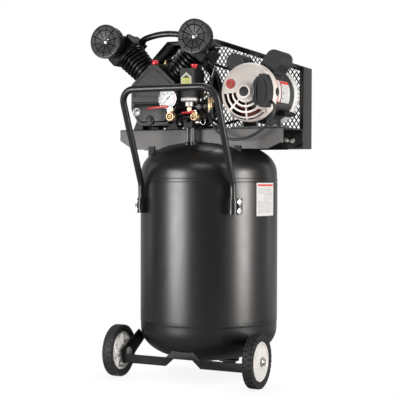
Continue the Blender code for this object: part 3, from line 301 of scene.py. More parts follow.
def soft(profile, radius, steps=3):
    """A lathe profile with each corner off the axis rounded by radius where there is room."""
    points, out = [Vector(p) for p in profile], []
    for i, corner in enumerate(points):
        to_last, to_next = points[i - 1] - corner, points[(i + 1) % len(points)] - corner
        if corner.x < 1e-7 or to_last.length < 1e-7 or to_next.length < 1e-7:
            out.append(tuple(corner))
            continue
        angle = to_last.angle(to_next)
        if angle > radians(168) or angle < 1e-3:
            out.append(tuple(corner))
            continue
        cut = min(radius / math.tan(angle / 2), to_last.length * 0.45, to_next.length * 0.45)
        out += curve_corner(corner, to_last, to_next, cut, steps)
    return out


def fillet(outline, radius, steps=4):
    """A closed outline with rounded corners. radius is one number or one for each corner."""
    points, out = [Vector(p) for p in outline], []
    radii = [radius] * len(points) if isinstance(radius, (int, float)) else radius
    for i, corner in enumerate(points):
        to_last, to_next = points[i - 1] - corner, points[(i + 1) % len(points)] - corner
        cut = min(radii[i] / math.tan(to_last.angle(to_next) / 2), to_last.length * 0.48,
                  to_next.length * 0.48)
        if cut < 1e-5:
            out.append(tuple(corner))
        else:
            out += curve_corner(corner, to_last, to_next, cut, steps)
    return out


def block(x0, x1, z0, z1):
    """A rectangle's corners."""
    return [(x0, z0), (x1, z0), (x1, z1), (x0, z1)]


def inset(outline, distance):
    """Each edge of a closed outline moved to its own left by distance."""
    out, count = [], len(outline)
    for i in range(count):
        last, here, following = (Vector(outline[(i + j) % count]) for j in (-1, 0, 1))
        normal_in = Vector((-(here - last).y, (here - last).x)).normalized()
        normal_out = Vector((-(following - here).y, (following - here).x)).normalized()
        out.append(here + (normal_in + normal_out) * (distance / (1 + normal_in.dot(normal_out))))
    return out


def mirrored(left):
    return left + [(-a, b) for a, b in reversed(left)]


def placed(points, centre):
    """Outline points moved to a centre given as (x, y, z), in the x-z plane."""
    return [(centre[0] + a, centre[2] + b) for a, b in points]


def rounded(points, radius, steps):
    """A path whose corners are circular bends."""
    points = [Vector(p) for p in points]
    out = [points[0]]
    for last, corner, following in zip(points, points[1:], points[2:]):
        to_last, to_next = (last - corner).normalized(), (following - corner).normalized()
        half = to_last.angle(to_next) / 2
        cut = radius / math.tan(half)
        centre = corner + (to_last + to_next).normalized() * (radius / sin(half))
        start, end = corner + to_last * cut - centre, corner + to_next * cut - centre
        for i in range(steps + 1):
            turned = start.normalized().slerp(end.normalized(), i / steps)
            out.append(centre + turned * start.length)
    return out + [points[-1]]


def spline(points, steps=8):
    """Catmull-Rom through the points."""
    p = [Vector(q) for q in points]
    p = [p[0] * 2 - p[1]] + p + [p[-1] * 2 - p[-2]]
    out = []
    for i in range(1, len(p) - 2):
        a, b, c, d = p[i - 1:i + 3]
        for j in range(steps):
            t = j / steps
            out.append(0.5 * ((2 * b) + (c - a) * t + (2 * a - 5 * b + 4 * c - d) * t * t
                              + (3 * b - a - 3 * c + d) * t ** 3))
    return out + [p[-2]]


def spoke(angle):
    """Outward and sideways directions at an angle in the x-z plane."""
    return Vector((cos(angle), 0, sin(angle))), Vector((-sin(angle), 0, cos(angle)))


def cross_axes(axis):
    """Two directions square to an axis, and the axis itself."""
    axis = Vector(axis).normalized()
    first = Vector((0, 0, 1)) if abs(axis.z) < 0.9 else Vector((1, 0, 0))
    first = (first - axis * first.dot(axis)).normalized()
    return first, axis.cross(first), axis


# ================================================================ mesh helpers
def new_mesh(verts, faces):
    mesh = bmesh.new()
    made = [mesh.verts.new(v) for v in verts]
    for face in faces:
        mesh.faces.new([made[i] for i in face])
    bmesh.ops.recalc_face_normals(mesh, faces=mesh.faces)
    return mesh


def bands(rings, size, closed=False):
    """Faces between successive rings of size vertices each."""
    faces = []
    for i in range(rings if closed else rings - 1):
        a, b = i * size, (i + 1) % rings * size
        faces += [(a + m, a + (m + 1) % size, b + (m + 1) % size, b + m) for m in range(size)]
    return faces


def skin(rings, closed=False):
    """A body through rings of points, capped at both ends unless it closes on itself."""
    count, size = len(rings), len(rings[0])
    faces = bands(count, size, closed)
    if not closed:
        faces += [tuple(range(size)), tuple(range(count * size - 1, (count - 1) * size - 1, -1))]
    return new_mesh([p for ring in rings for p in ring], faces)


def lathe(profile, centre=(0, 0, 0), axis=Z, segs=48, turn=0.0, waver=None):
    """A closed profile of (radius, height along the axis) turned round the axis.

    waver(radius, angle), if given, replaces the radius.
    """
    first, second, along = cross_axes(axis)
    centre = Vector(centre)
    verts, rings = [], []
    for radius, height in profile:
        if radius < 1e-7:
            rings.append([len(verts)])
            verts.append(centre + along * height)
            continue
        rings.append(range(len(verts), len(verts) + segs))
        for k in range(segs):
            angle = turn + tau * k / segs
            reach = waver(radius, angle) if waver else radius
            verts.append(centre + along * height
                         + (first * cos(angle) + second * sin(angle)) * reach)
    faces = []
    for i, here in enumerate(rings):
        there = rings[(i + 1) % len(rings)]
        if len(here) == 1 and len(there) == 1:
            continue
        for k in range(segs):
            k2 = (k + 1) % segs
            if len(here) == 1:
                faces.append((here[0], there[k], there[k2]))
            elif len(there) == 1:
                faces.append((here[k], here[k2], there[0]))
            else:
                faces.append((here[k], here[k2], there[k2], there[k]))
    return new_mesh(verts, faces)


def tube(inner, outer, h0, h1, centre=(0, 0, 0), axis=Z, segs=32, turn=0.0, soften=0.0):
    profile = block(inner, outer, h0, h1)
    return lathe(soft(profile, soften) if soften else profile, centre, axis, segs, turn)


def rod(radius, *args, **settings):
    return tube(0, radius, *args, **settings)


def prism(outline, near, far, origin=(0, 0, 0), across=RIGHT, upward=UP, along=BACK):
    """An outline in the across-upward plane, run from near to far."""
    origin, across, upward, along = map(Vector, (origin, across, upward, along))
    size = len(outline)
    verts = [origin + across * a + upward * b + along * d for d in (near, far) for a, b in outline]
    caps = [tuple(range(size)), tuple(range(2 * size - 1, size - 1, -1))]
    return new_mesh(verts, caps + bands(2, size))


def box(x0, x1, y0, y1, z0, z1):
    return prism(block(x0, x1, z0, z1), y0, y1)


def sweep(path, radius, segs=16):
    points = [Vector(p) for p in path]
    rings, side = [], None
    for i, point in enumerate(points):
        heading = (points[min(i + 1, len(points) - 1)] - points[max(i - 1, 0)]).normalized()
        side = side or cross_axes(heading)[0]
        side = (side - heading * side.dot(heading)).normalized()
        other = heading.cross(side)
        rings.append([point + (side * cos(g) + other * sin(g)) * radius
                      for g in (tau * k / segs for k in range(segs))])
    return skin(rings)


def patch(place, angles, span, lifts, steps):
    """A thin curved sheet; place(angle, distance along, lift) gives its points."""
    corners = [(along, lift) for lift, along in block(*lifts, *span)]
    corners = [corners[0], corners[3], corners[2], corners[1]]
    start, end = angles
    return skin([[place(start + (end - start) * i / steps, *corner) for corner in corners]
                 for i in range(steps + 1)])


def as_object(mesh):
    data = bpy.data.meshes.new("helper")
    mesh.to_mesh(data)
    mesh.free()
    made = bpy.data.objects.new("helper", data)
    scene.collection.objects.link(made)
    return made


CUT, ADD, KEEP = "DIFFERENCE", "UNION", "INTERSECT"


def combine(base, *steps):
    """Apply boolean steps, each (operation, tool mesh), in order."""
    body = as_object(base)
    for operation, tool in steps:
        cutter = as_object(tool)
        step = body.modifiers.new("step", "BOOLEAN")
        step.operation, step.object, step.solver = operation, cutter, "EXACT"
        bpy.context.view_layer.update()
        evaluated = body.evaluated_get(bpy.context.evaluated_depsgraph_get())
        made = bpy.data.meshes.new_from_object(evaluated)
        body.modifiers.clear()
        body.data = made
        bpy.data.objects.remove(cutter, do_unlink=True)
    mesh = bmesh.new()
    mesh.from_mesh(body.data)
    bpy.data.objects.remove(body, do_unlink=True)
    bmesh.ops.dissolve_degenerate(mesh, dist=1e-6, edges=mesh.edges)
    return mesh


def joined(*meshes):
    """Several closed bodies in one mesh, kept apart."""
    out = bmesh.new()
    for mesh in meshes:
        data = bpy.data.meshes.new("part")
        mesh.to_mesh(data)
        mesh.free()
        out.from_mesh(data)
        bpy.data.meshes.remove(data)
    return out


def add_bevel(made, width, segments=2, angle=32):
    bevel = made.modifiers.new("edges", "BEVEL")
    bevel.width, bevel.segments = width, segments
    bevel.limit_method, bevel.angle_limit = "ANGLE", radians(angle)
    return bevel


def piece(name, mesh, finish, body="chassis", rep=None, bev=0.0, seg=2, sharp=38):
    """Make the object. rep is the frame node it replaces."""
    for v in mesh.verts:
        v.co += TANK_AXIS
    data = bpy.data.meshes.new(name)
    mesh.to_mesh(data)
    mesh.free()
    data.shade_smooth()
    data.set_sharp_from_angle(angle=radians(sharp))
    data.materials.append(finish)
    made = bpy.data.objects.new(name, data)
    scene.collection.objects.link(made)
    if bev:
        bevel = add_bevel(made, bev, seg)
        bevel.use_clamp_overlap = True
        bevel.miter_outer = "MITER_ARC"
    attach(made, body)
    if rep:
        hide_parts(rep)
    return made


# ---------------------------------------------------------------- hexagons and bolts
def hexagon(radius, h0, h1, centre, axis, turn=0.0):
    return rod(radius, h0, h1, centre, axis, 6, turn)


def crowned_hex(radius, h0, h1, centre, axis, turn, crown, segs=40):
    """A hexagon kept only inside a turned profile."""
    return combine(hexagon(radius, h0, h1, centre, axis, turn),
                   (KEEP, lathe(crown, centre, axis, segs)))


def chamfered_hex(radius, h0, h1, centre, axis=Z, turn=0.0, chamfer=0.0012):
    crown = [(0, h0), (radius - chamfer * 1.3, h0), (radius, h0 + chamfer),
             (radius, h1 - chamfer), (radius - chamfer * 1.3, h1), (0, h1)]
    return crowned_hex(radius, h0, h1, centre, axis, turn, crown, 48)


def hex_bolt(name, centre, axis, radius, height, washer=True, finish=ZINC,
             slot="axle_bolt_left", sink=0.0008):
    """A hexagon head with a chamfered crown, on a washer, its base at centre."""
    parts, base = [], 0.0
    if washer:
        parts.append(rod(radius * 1.55, -sink, 0.0012, centre, axis, 28, soften=0.0003))
        base = 0.0011
    crown = [(0, base - 0.001), (radius * 1.2, base - 0.001), (radius * 1.2, base + height * 0.62),
             (radius * 0.86, base + height), (0, base + height)]
    parts.append(crowned_hex(radius * 1.1, base, base + height, centre, axis, 0.3, crown, 32))
    piece(name, joined(*parts), finish)


def bolts(name, places, *args, **settings):
    for i, place in enumerate(places):
        hex_bolt("%s_%d" % (name, i + 1), place, *args, **settings)


# ================================================================ driving dimensions
# suffixes: R radius, L/R/F/B left, right, front and back limits, T thickness
TANK_R, HEAD_R, HEAD_DEPTH, HEAD_POWER = 0.2285, 0.2272, 0.114, 2.35
HEAD_LOW_Z, HEAD_TOP_Z = 0.166, 0.664
WHEEL_R, WHEEL_W, WHEEL_X, WHEEL_Y, RIM_R = 0.085, 0.034, 0.246, -0.173, 0.062
HANDLE_R, HANDLE_HALF, HANDLE_CX, HANDLE_Y, HANDLE_TOP_Y = 0.0106, 0.1625, 0.0045, -0.181, -0.318
HANDLE_LOW_Z, HANDLE_KNEE_Z, HANDLE_TOP_Z = 0.545, 0.632, 0.931
DECK_L, DECK_R, DECK_F, DECK_B = -0.284, 0.3025, -0.100, 0.080
DECK_Z, DECK_LOW_Z, DECK_T = 0.8155, 0.7485, 0.004
CRANK_X, CRANK_Z, CYL_Y = -0.150, 0.945, -0.045
# distances from the crank along each cylinder's axis: barrel foot, barrel top, fin tips, filter
SEAT, CYL_TOP, HEAD_OUT, FILTER_AT = 0.072, 0.176, 0.236, 0.2318
BORE_R, FIN_R, HEAD_HALF, HEAD_F, HEAD_B = 0.0325, 0.051, 0.053, -0.094, 0.006
FILTER_R, FLY_R = 0.0565, 0.137
MOTOR_X, MOTOR_Z, MOTOR_R, BELL_R, PULLEY_R = 0.1935, 0.926, 0.0915, 0.0937, 0.046
BELT_MID_Y, BELT_R_FLY, BELT_R_MOTOR, GUARD_F, GUARD_B = 0.129, 0.1325, 0.0415, 0.096, 0.178
GAP = 0.0003
CRANK, MOTOR = (CRANK_X, 0, CRANK_Z), (MOTOR_X, 0, MOTOR_Z)


def bank_axes(side):
    """Directions along a cylinder's axis and across it, square to the crank."""
    along = Vector((side, 0, 1)).normalized()
    return along, Vector((-side * along.z, 0, side * along.x))


def head_curve(radius, depth=HEAD_DEPTH):
    """Height of a tank head's surface above its rim."""
    return depth * max(0.0, 1 - (radius / HEAD_R) ** HEAD_POWER) ** (1 / HEAD_POWER)


# ================================================================ tank
def tank_profile():
    radii = [HEAD_R * sin(pi / 2 * i / 26) for i in range(1, 27)]
    # seam steps at the foot and the top of the shell: radius, height
    seams = [
        (HEAD_R, 0.1800), (HEAD_R + 0.0002, 0.1818), (TANK_R - 0.0002, 0.1826),
        (TANK_R, 0.1834), (TANK_R, 0.1905), (TANK_R - 0.0011, 0.1915),
        (TANK_R - 0.0012, 0.1930), (TANK_R, 0.1943), (TANK_R, 0.6410),
        (TANK_R - 0.0010, 0.6420), (TANK_R - 0.0010, 0.6434), (TANK_R, 0.6446),
        (TANK_R, 0.6520), (TANK_R - 0.0002, 0.6532), (HEAD_R + 0.0002, 0.6540),
        (HEAD_R, 0.6556)]
    return ([(0, HEAD_LOW_Z - HEAD_DEPTH)] + [(r, HEAD_LOW_Z - head_curve(r)) for r in radii]
            + seams + [(r, HEAD_TOP_Z + head_curve(r)) for r in reversed(radii)]
            + [(0, HEAD_TOP_Z + HEAD_DEPTH)])


def tank_top(clearance):
    """The top of the tank, grown a little, as a cutter."""
    return lathe([(0, 0.60)] + [(r + clearance, h + clearance)
                                for r, h in tank_profile() if h > 0.60], segs=96)


def dome(x, y):
    """Height of the top head's surface at x, y."""
    return HEAD_TOP_Z + head_curve(hypot(x, y))


piece("tank", lathe(tank_profile(), segs=144), TANK, rep="tank_shell", sharp=20)
PIPES, PIPE_Y = (-0.0158, 0.0015), -0.128
for i, x in enumerate(PIPES):
    z = dome(x, PIPE_Y)
    piece("pipe_bung_%d" % (i + 1),
          tube(0.0066, 0.0104, z - 0.006, z + 0.0075, (x, PIPE_Y, 0), segs=28, soften=0.001),
          POWDER)


def on_shell(degrees, z, lift):
    angle = radians(degrees)
    return (TANK_R + lift) * cos(angle), (TANK_R + lift) * sin(angle), z


def tank_label():
    """Sheet, red header and lines of print, on the tank's right side. Angles in degrees."""
    start, end, low, top = -23.6, 1.0, 0.5335, 0.6395
    piece("tank_label", patch(on_shell, (start, end), (low, top), (0.0002, 0.0006), 24), PAPER)
    piece("tank_label_header",
          patch(on_shell, (start + 1.4, end - 1.4), (top - 0.0105, top - 0.0045),
                (0.0005, 0.0008), 24), PRINT_RED)
    lines = []
    random.seed(7)
    z = top - 0.0165
    while z > low + 0.006:
        left = start + 1.6
        if 0.585 < z < 0.606:
            left += 6.5
        right = end - 1.6 - random.random() * 5
        gap = left + (right - left) * (0.3 + 0.35 * random.random())
        for angles in ((left, gap - 0.35), (gap + 0.35, right)):
            lines.append(patch(on_shell, angles, (z - 0.00075, z + 0.00055),
                               (0.0005, 0.0007), 8))
        z -= 0.0042
    piece("tank_label_lines", joined(*lines), PRINT_GREY)


tank_label()

# drain cock under the tank
apex = HEAD_LOW_Z - HEAD_DEPTH
piece("drain_body",
      lathe(soft([(0.0025, 0.0285), (0.008, 0.0285), (0.008, 0.034), (0.0115, 0.034),
                  (0.0115, apex - 0.0004), (0.0025, apex - 0.0004)], 0.0008), segs=36),
      BRASS, rep="drain_valve_body")
piece("drain_knob",
      combine(rod(0.0065, 0.0125, 0.0276, soften=0.001), (ADD, rod(0.0023, 0.027, 0.0340)),
              (ADD, box(-0.0135, 0.0135, -0.002, 0.002, 0.014, 0.025))),
      BRASS, "drain_screw", "drain_valve_knob", bev=0.0006)


# ================================================================ wheels
def tyre(side):
    """A rounded carcass with cross grooves in its shoulders, staggered from side to side."""
    half_w, radius = WHEEL_W / 2, WHEEL_R
    # radius, distance along the axle, whether the cross grooves reach it
    half = [
        (RIM_R + 0.0002, -half_w * 0.80, False), (RIM_R + 0.0040, -half_w * 0.90, False),
        (RIM_R + 0.0090, -half_w * 0.955, False), (radius - 0.0095, -half_w * 0.985, False),
        (radius - 0.0085, -half_w * 0.995, True), (radius - 0.0050, -half_w, True),
        (radius - 0.0022, -half_w * 0.965, True), (radius - 0.0006, -half_w * 0.88, True),
        (radius, -half_w * 0.74, True), (radius, -0.0032, True), (radius, -0.0028, False)]
    section = half + [(a, -b, grooved) for a, b, grooved in reversed(half)]
    lugs = 32
    centre = Vector((side * WHEEL_X, WHEEL_Y, WHEEL_R))
    first, second, along = cross_axes((side, 0, 0))
    rings = []
    for turns in [(k + f) / lugs for k in range(lugs) for f in (0.0, 0.29, 0.33, 0.50, 0.79, 0.83)]:
        out = first * cos(tau * turns) + second * sin(tau * turns)
        phase = (turns * lugs) % 1.0
        ring = []
        for j, (reach, offset, grooved) in enumerate(section):
            here = phase if j < len(half) else (phase + 0.5) % 1.0
            deep = grooved and 0.31 < here < 0.49
            if deep and reach > radius - 0.0052:
                reach -= 0.0042
            if deep and abs(offset) > half_w * 0.9:
                offset *= 0.90
            ring.append(centre + along * offset + out * reach)
        rings.append(ring)
    return skin(rings, closed=True)


def fan(inner, outer, half_inner, half_outer):
    """A four-sided fan: it widens from inner to outer."""
    return [(inner, half_inner), (outer, half_outer), (outer, -half_outer), (inner, -half_inner)]


def wheel_hub(side):
    """A dished disc with ribs inside and one fan-shaped pocket in its outer face."""
    centre = (side * WHEEL_X, WHEEL_Y, WHEEL_R)
    rim = RIM_R - 0.0002
    profile = [
        (rim, -0.0135), (rim, 0.0142), (0.0595, 0.0152), (0.0570, 0.0148), (0.0555, 0.0128),
        (0.0540, 0.0122), (0.0240, 0.0134), (0.0205, 0.0150), (0.0175, 0.0165),
        (0.0086, 0.0165), (0.0086, -0.0150), (0.0180, -0.0150), (0.0195, -0.0135),
        (0.0205, 0.0045), (0.0530, 0.0060), (0.0550, -0.0120), (0.0565, -0.0135)]
    rib = [(0.0185, 0.0055), (0.0545, 0.0070), (0.0545, -0.0075), (0.0185, -0.0120)]
    steps = []
    for k in range(8):
        angle = tau * (k + 0.5) / 8
        steps.append((ADD, prism(rib, -0.0011, 0.0011, centre, (0, cos(angle), sin(angle)),
                                 (side, 0, 0), (0, -sin(angle), cos(angle)))))
    pocket = fan(0.0130, 0.0270, 0.0040, 0.0130)
    steps.append((CUT, prism(pocket, 0.0100, 0.0200, centre, BACK, UP, (side, 0, 0))))
    return combine(lathe(profile, centre, (side, 0, 0), 72), *steps)


def axle_bolt(side):
    """Inner head, shank, lock nut, washer, outer nut and the bolt's end."""
    line = ((0, WHEEL_Y, WHEEL_R), (side, 0, 0))
    return joined(
        crowned_hex(0.0136, 0.2045, 0.2118, *line, 0.2,
                    [(0, 0.204), (0.0112, 0.204), (0.0138, 0.2065), (0.0138, 0.213), (0, 0.213)]),
        rod(0.0079, 0.2115, 0.2640, *line),
        crowned_hex(0.0136, 0.2195, 0.2275, *line, 0.0,
                    [(0, 0.219), (0.0138, 0.219), (0.0138, 0.2255), (0.0115, 0.2275),
                     (0, 0.2275)]),
        tube(0.0075, 0.0150, 0.2628, 0.2642, *line, 36, soften=0.0003),
        crowned_hex(0.0134, 0.2641, 0.2715, *line, 0.25,
                    [(0, 0.264), (0.0136, 0.264), (0.0136, 0.2695), (0.0112, 0.2716),
                     (0, 0.2716)]),
        lathe([(0, 0.2712), (0.0064, 0.2712), (0.0064, 0.2738), (0.0056, 0.2746), (0, 0.2746)],
              *line, 28))


for side, word in SIDES:
    body = "wheel_" + word
    piece("tyre_" + word, tyre(side), RUBBER, body, "wheel_tyre_" + word, sharp=30)
    piece("hub_" + word, wheel_hub(side), HUB, body, "wheel_hub_" + word, bev=0.0005)
    # painted light: a paler sheet laid on the floor of the hub's pocket
    piece("hub_pocket_" + word,
          prism(fan(0.0132, 0.0268, 0.0038, 0.0127), 0.0095, 0.0104,
                (side * WHEEL_X, WHEEL_Y, WHEEL_R), BACK, UP, (side, 0, 0)),
          HUB_POCKET_PAINTED_LIGHT, body)
    piece("axle_bolt_set_" + word, axle_bolt(side), ZINC, rep="axle_bolt_" + word)


# ================================================================ steelwork kept from the frame
def smooth_group(degrees):
    """Geometry nodes that shade smooth across edges gentler than the angle."""
    tree = bpy.data.node_groups.new("smooth_%d" % degrees, "GeometryNodeTree")
    for direction in ("INPUT", "OUTPUT"):
        tree.interface.new_socket("Geometry", in_out=direction, socket_type="NodeSocketGeometry")
    start, end = tree.nodes.new("NodeGroupInput"), tree.nodes.new("NodeGroupOutput")
    faces = tree.nodes.new("GeometryNodeSetShadeSmooth")
    edges = tree.nodes.new("GeometryNodeSetShadeSmooth")
    faces.domain, edges.domain = "FACE", "EDGE"
    angle = tree.nodes.new("GeometryNodeInputMeshEdgeAngle")
    compare = tree.nodes.new("FunctionNodeCompare")
    compare.data_type, compare.operation = "FLOAT", "LESS_THAN"
    compare.inputs[1].default_value = radians(degrees)
    tree.links.new(start.outputs[0], faces.inputs["Geometry"])
    tree.links.new(faces.outputs[0], edges.inputs["Geometry"])
    tree.links.new(angle.outputs["Unsigned Angle"], compare.inputs[0])
    tree.links.new(compare.outputs[0], edges.inputs["Shade Smooth"])
    tree.links.new(edges.outputs[0], end.inputs[0])
    return tree


SMOOTH = smooth_group(35)


def dress(name, finish, bev=0.0):
    """A frame node whose shape stays: welded, its edges softened, with its real finish."""
    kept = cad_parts[name]
    kept.data.materials.clear()
    kept.data.materials.append(finish)
    kept.modifiers.new("weld", "WELD").merge_threshold = 1e-5
    if bev:
        add_bevel(kept, bev, angle=35)
    kept.modifiers.new("smooth", "NODES").node_group = SMOOTH


dress("wheel_frame", FRAME, 0.0012)
dress("rear_foot_strap", POWDER, 0.0012)
piece("foot_pad",
      lathe(soft([(0, 0), (0.0215, 0), (0.0235, 0.0137), (0, 0.0137)], 0.0022), (0, 0.171, 0)),
      RUBBER, rep="rear_foot_pad")


# ================================================================ handle
def handle_path():
    half = [(HANDLE_Y, HANDLE_LOW_Z), (HANDLE_Y, HANDLE_KNEE_Z), (HANDLE_TOP_Y, HANDLE_TOP_Z)]
    left, right = HANDLE_CX - HANDLE_HALF, HANDLE_CX + HANDLE_HALF
    return rounded([(left, *p) for p in half] + [(right, *p) for p in reversed(half)], 0.048, 14)


piece("handle", sweep(handle_path(), HANDLE_R, 40), POWDER, rep="handle_tube", sharp=50)


def bracket(x, side):
    """A saddle round the tube, its cheeks run back to the tank, with an outward ear."""
    half, back = 0.0148, -0.140
    outline = arc((x, HANDLE_Y), half, range(-180, 1, 10)) + [(x + half, back), (x - half, back)]
    ear = sorted((x + side * (half - 0.002), x + side * 0.0265))
    slot_x = x - side * 0.0045
    return combine(
        prism(outline, 0.541, 0.590, (0, 0, 0), RIGHT, BACK, UP),
        (ADD, box(*ear, -0.176, -0.172, 0.543, 0.588)),
        (CUT, rod(TANK_R + 0.0002, 0.5, 0.63, segs=96)),
        (CUT, rod(HANDLE_R + 0.0004, 0.5435, 0.600, (x, HANDLE_Y, 0), Z, 40)),
        (CUT, box(slot_x - 0.0022, slot_x + 0.0022, -0.21, -0.1895, 0.555, 0.60)))


for side, word in SIDES:
    x = HANDLE_CX + side * HANDLE_HALF
    piece("bracket_" + word, bracket(x, side), POWDER, rep="handle_bracket_" + word, bev=0.0007)
    bolts("bracket_bolt_" + word, [(x + side * 0.0205, -0.1762, z) for z in (0.552, 0.580)],
          FORWARD, 0.0052, 0.0052)


# ================================================================ deck
def deck():
    """A channel open below, with sloped flange ends, cut to sit on the tank."""
    bend = 0.006
    section = [(DECK_F, DECK_LOW_Z), (DECK_F, DECK_Z - bend)]
    section += arc((DECK_F + bend, DECK_Z - bend), bend, range(165, 89, -15))
    section += arc((DECK_B - bend, DECK_Z - bend), bend, range(90, -1, -15))
    section += [(DECK_B, DECK_LOW_Z), (DECK_B - DECK_T, DECK_LOW_Z),
                (DECK_B - DECK_T, DECK_Z - DECK_T), (DECK_F + DECK_T, DECK_Z - DECK_T),
                (DECK_F + DECK_T, DECK_LOW_Z)]
    flange = fillet([(DECK_L, 0.85), (DECK_R, 0.85), (DECK_R, 0.772),
                     (DECK_R - 0.052, DECK_LOW_Z), (DECK_L + 0.050, DECK_LOW_Z),
                     (DECK_L, 0.779)], [0, 0, 0.003, 0.006, 0.006, 0.003])
    steps = [(KEEP, prism(flange, DECK_F - 0.01, DECK_B + 0.01)), (CUT, tank_top(0.0003)),
             (CUT, rod(0.0095, 0.800, 0.830, (0.070, -0.078, 0)))]
    # slots through the rear flange
    for x in (-0.205, 0.010, 0.2185):
        slot = (arc((x - 0.0085, 0.7795), 0.0035, range(90, 271, 20))
                + arc((x + 0.0085, 0.7795), 0.0035, range(-90, 91, 20)))
        steps.append((CUT, prism(slot, DECK_B - 0.02, DECK_B + 0.02)))
    return combine(prism(section, DECK_L, DECK_R, (0, 0, 0), BACK, UP, RIGHT), *steps)


piece("deck", deck(), DECK, rep="deck_channel", bev=0.0006)
for i, x in enumerate((-0.163, 0.1485)):
    tab = box(x - 0.011, x + 0.011, DECK_F - 0.0052, DECK_F + 0.012, dome(x, -0.094) - 0.012,
              DECK_LOW_Z + 0.010)
    piece("deck_weld_tab_%d" % (i + 1), combine(tab, (CUT, tank_top(0.0002))), FRAME,
          bev=0.0015)
bolts("deck_rear_bolt",
      [(x, DECK_B - DECK_T - 0.0004, z)
       for x, z in ((0.2309, 0.7817), (0.2486, 0.7815), (0.2683, 0.7799))],
      FORWARD, 0.0058, 0.0050)

# ================================================================ belt guard
# outline of the guard: x, z
GUARD = [(0.299, 0.752), (0.299, 1.022), (-0.020, 1.131), (-0.208, 1.131), (-0.300, 1.040),
         (-0.300, 0.752), (-0.165, 0.752), (-0.130, 0.790), (0.130, 0.790), (0.165, 0.752)]


def guard_frame():
    """A folded strip run round the outline, with two tabs that reach forward to the deck."""
    # inset from the outline, y
    section = [
        (0.0008, GUARD_F), (0, GUARD_F + 0.0008), (0, GUARD_B - 0.0022),
        (0.0007, GUARD_B - 0.0007), (0.0022, GUARD_B), (0.018, GUARD_B),
        (0.018, GUARD_B - 0.003), (0.003, GUARD_B - 0.003), (0.003, GUARD_F + 0.003),
        (0.014, GUARD_F + 0.003), (0.014, GUARD_F)]
    rings = [[(p.x, y, p.y) for p in inset(GUARD, d)] for d, y in section]
    tabs = [(ADD, box(x - 0.014, x + 0.014, DECK_B + GAP, GUARD_F + 0.0015, 0.7545, 0.764))
            for x in (-0.19, 0.20)]
    return combine(skin(rings, closed=True), *tabs)


def inside(outline, x, z):
    hit = False
    for i in range(len(outline)):
        (x1, z1), (x2, z2) = outline[i - 1], outline[i]
        if (z1 > z) != (z2 > z) and x < (x2 - x1) * (z - z1) / (z2 - z1) + x1:
            hit = not hit
    return hit


def expanded_mesh():
    """A flat lattice of diamonds; each one owns half of the strands round it."""
    half_x, half_z, strand, y = 0.0150 / 2, 0.0235 / 2, 0.0011, GUARD_B - 0.0041
    hole_x, hole_z = half_x - strand * 2.0, half_z - strand * 3.1
    edge = inset(GUARD, 0.0050)
    mesh = bmesh.new()
    shared = {}

    def lattice(i, j):
        return -0.31 + i * half_x, 0.745 + j * half_z

    def vert(i, j):
        if (i, j) not in shared:
            x, z = lattice(i, j)
            shared[(i, j)] = mesh.verts.new((x, y, z))
        return shared[(i, j)]

    for i in range(1, 90):
        for j in range(1, 40):
            corners = [(i + 1, j), (i, j + 1), (i - 1, j), (i, j - 1)]
            if (i + j) % 2 or not all(inside(edge, *lattice(*c)) for c in corners):
                continue
            x, z = lattice(i, j)
            outer = [vert(*c) for c in corners]
            inner = [mesh.verts.new((x + dx * hole_x, y, z + dz * hole_z))
                     for dx, dz in ((1, 0), (0, 1), (-1, 0), (0, -1))]
            for k in range(4):
                k2 = (k + 1) % 4
                mesh.faces.new((outer[k], outer[k2], inner[k2], inner[k]))
    bmesh.ops.recalc_face_normals(mesh, faces=mesh.faces)
    return mesh


piece("guard_frame", guard_frame(), POWDER, rep="belt_guard_frame", bev=0.0005)
guard_mesh = piece("guard_expanded_mesh", expanded_mesh(), POWDER, rep="belt_guard_mesh")
sheet = guard_mesh.modifiers.new("sheet", "SOLIDIFY")
sheet.thickness, sheet.offset = 0.0013, 0.0

# ================================================================ crankcase
# outlines measured from the crank's axis: x, z
CASE_OUT = mirrored([(-0.058, -0.1175), (-0.058, -0.092), (-0.082, -0.060),
                     (-0.082, SEAT * math.sqrt(2) - 0.082), (-0.0158, 0.086)])
CAVITY = mirrored([(-0.048, -0.1035), (-0.048, -0.084), (-0.070, -0.056), (-0.070, 0.0177),
                   (-0.0105, 0.0772)])
COVER = mirrored([(-0.055, -0.1135), (-0.070, -0.085), (-0.082, -0.062), (-0.082, 0.0185),
                  (-0.012, 0.0815)])
RECESS = mirrored([(-0.0730, -0.0215), (-0.0730, 0.0150), (-0.0100, 0.0715)])
PANEL = mirrored([(-0.0690, -0.0180), (-0.0690, 0.0130), (-0.0090, 0.0668)])
SUMP = [(-0.0735, -0.0455), (-0.0735, -0.0640), (-0.0640, -0.0840), (-0.0500, -0.1080),
        (0.0500, -0.1080), (0.0640, -0.0840), (0.0735, -0.0640), (0.0735, -0.0455)]
CASE_F, CASE_B, COVER_F = -0.098, 0.050, -0.116
OIL_AT = (-0.158, -0.0855, 0)


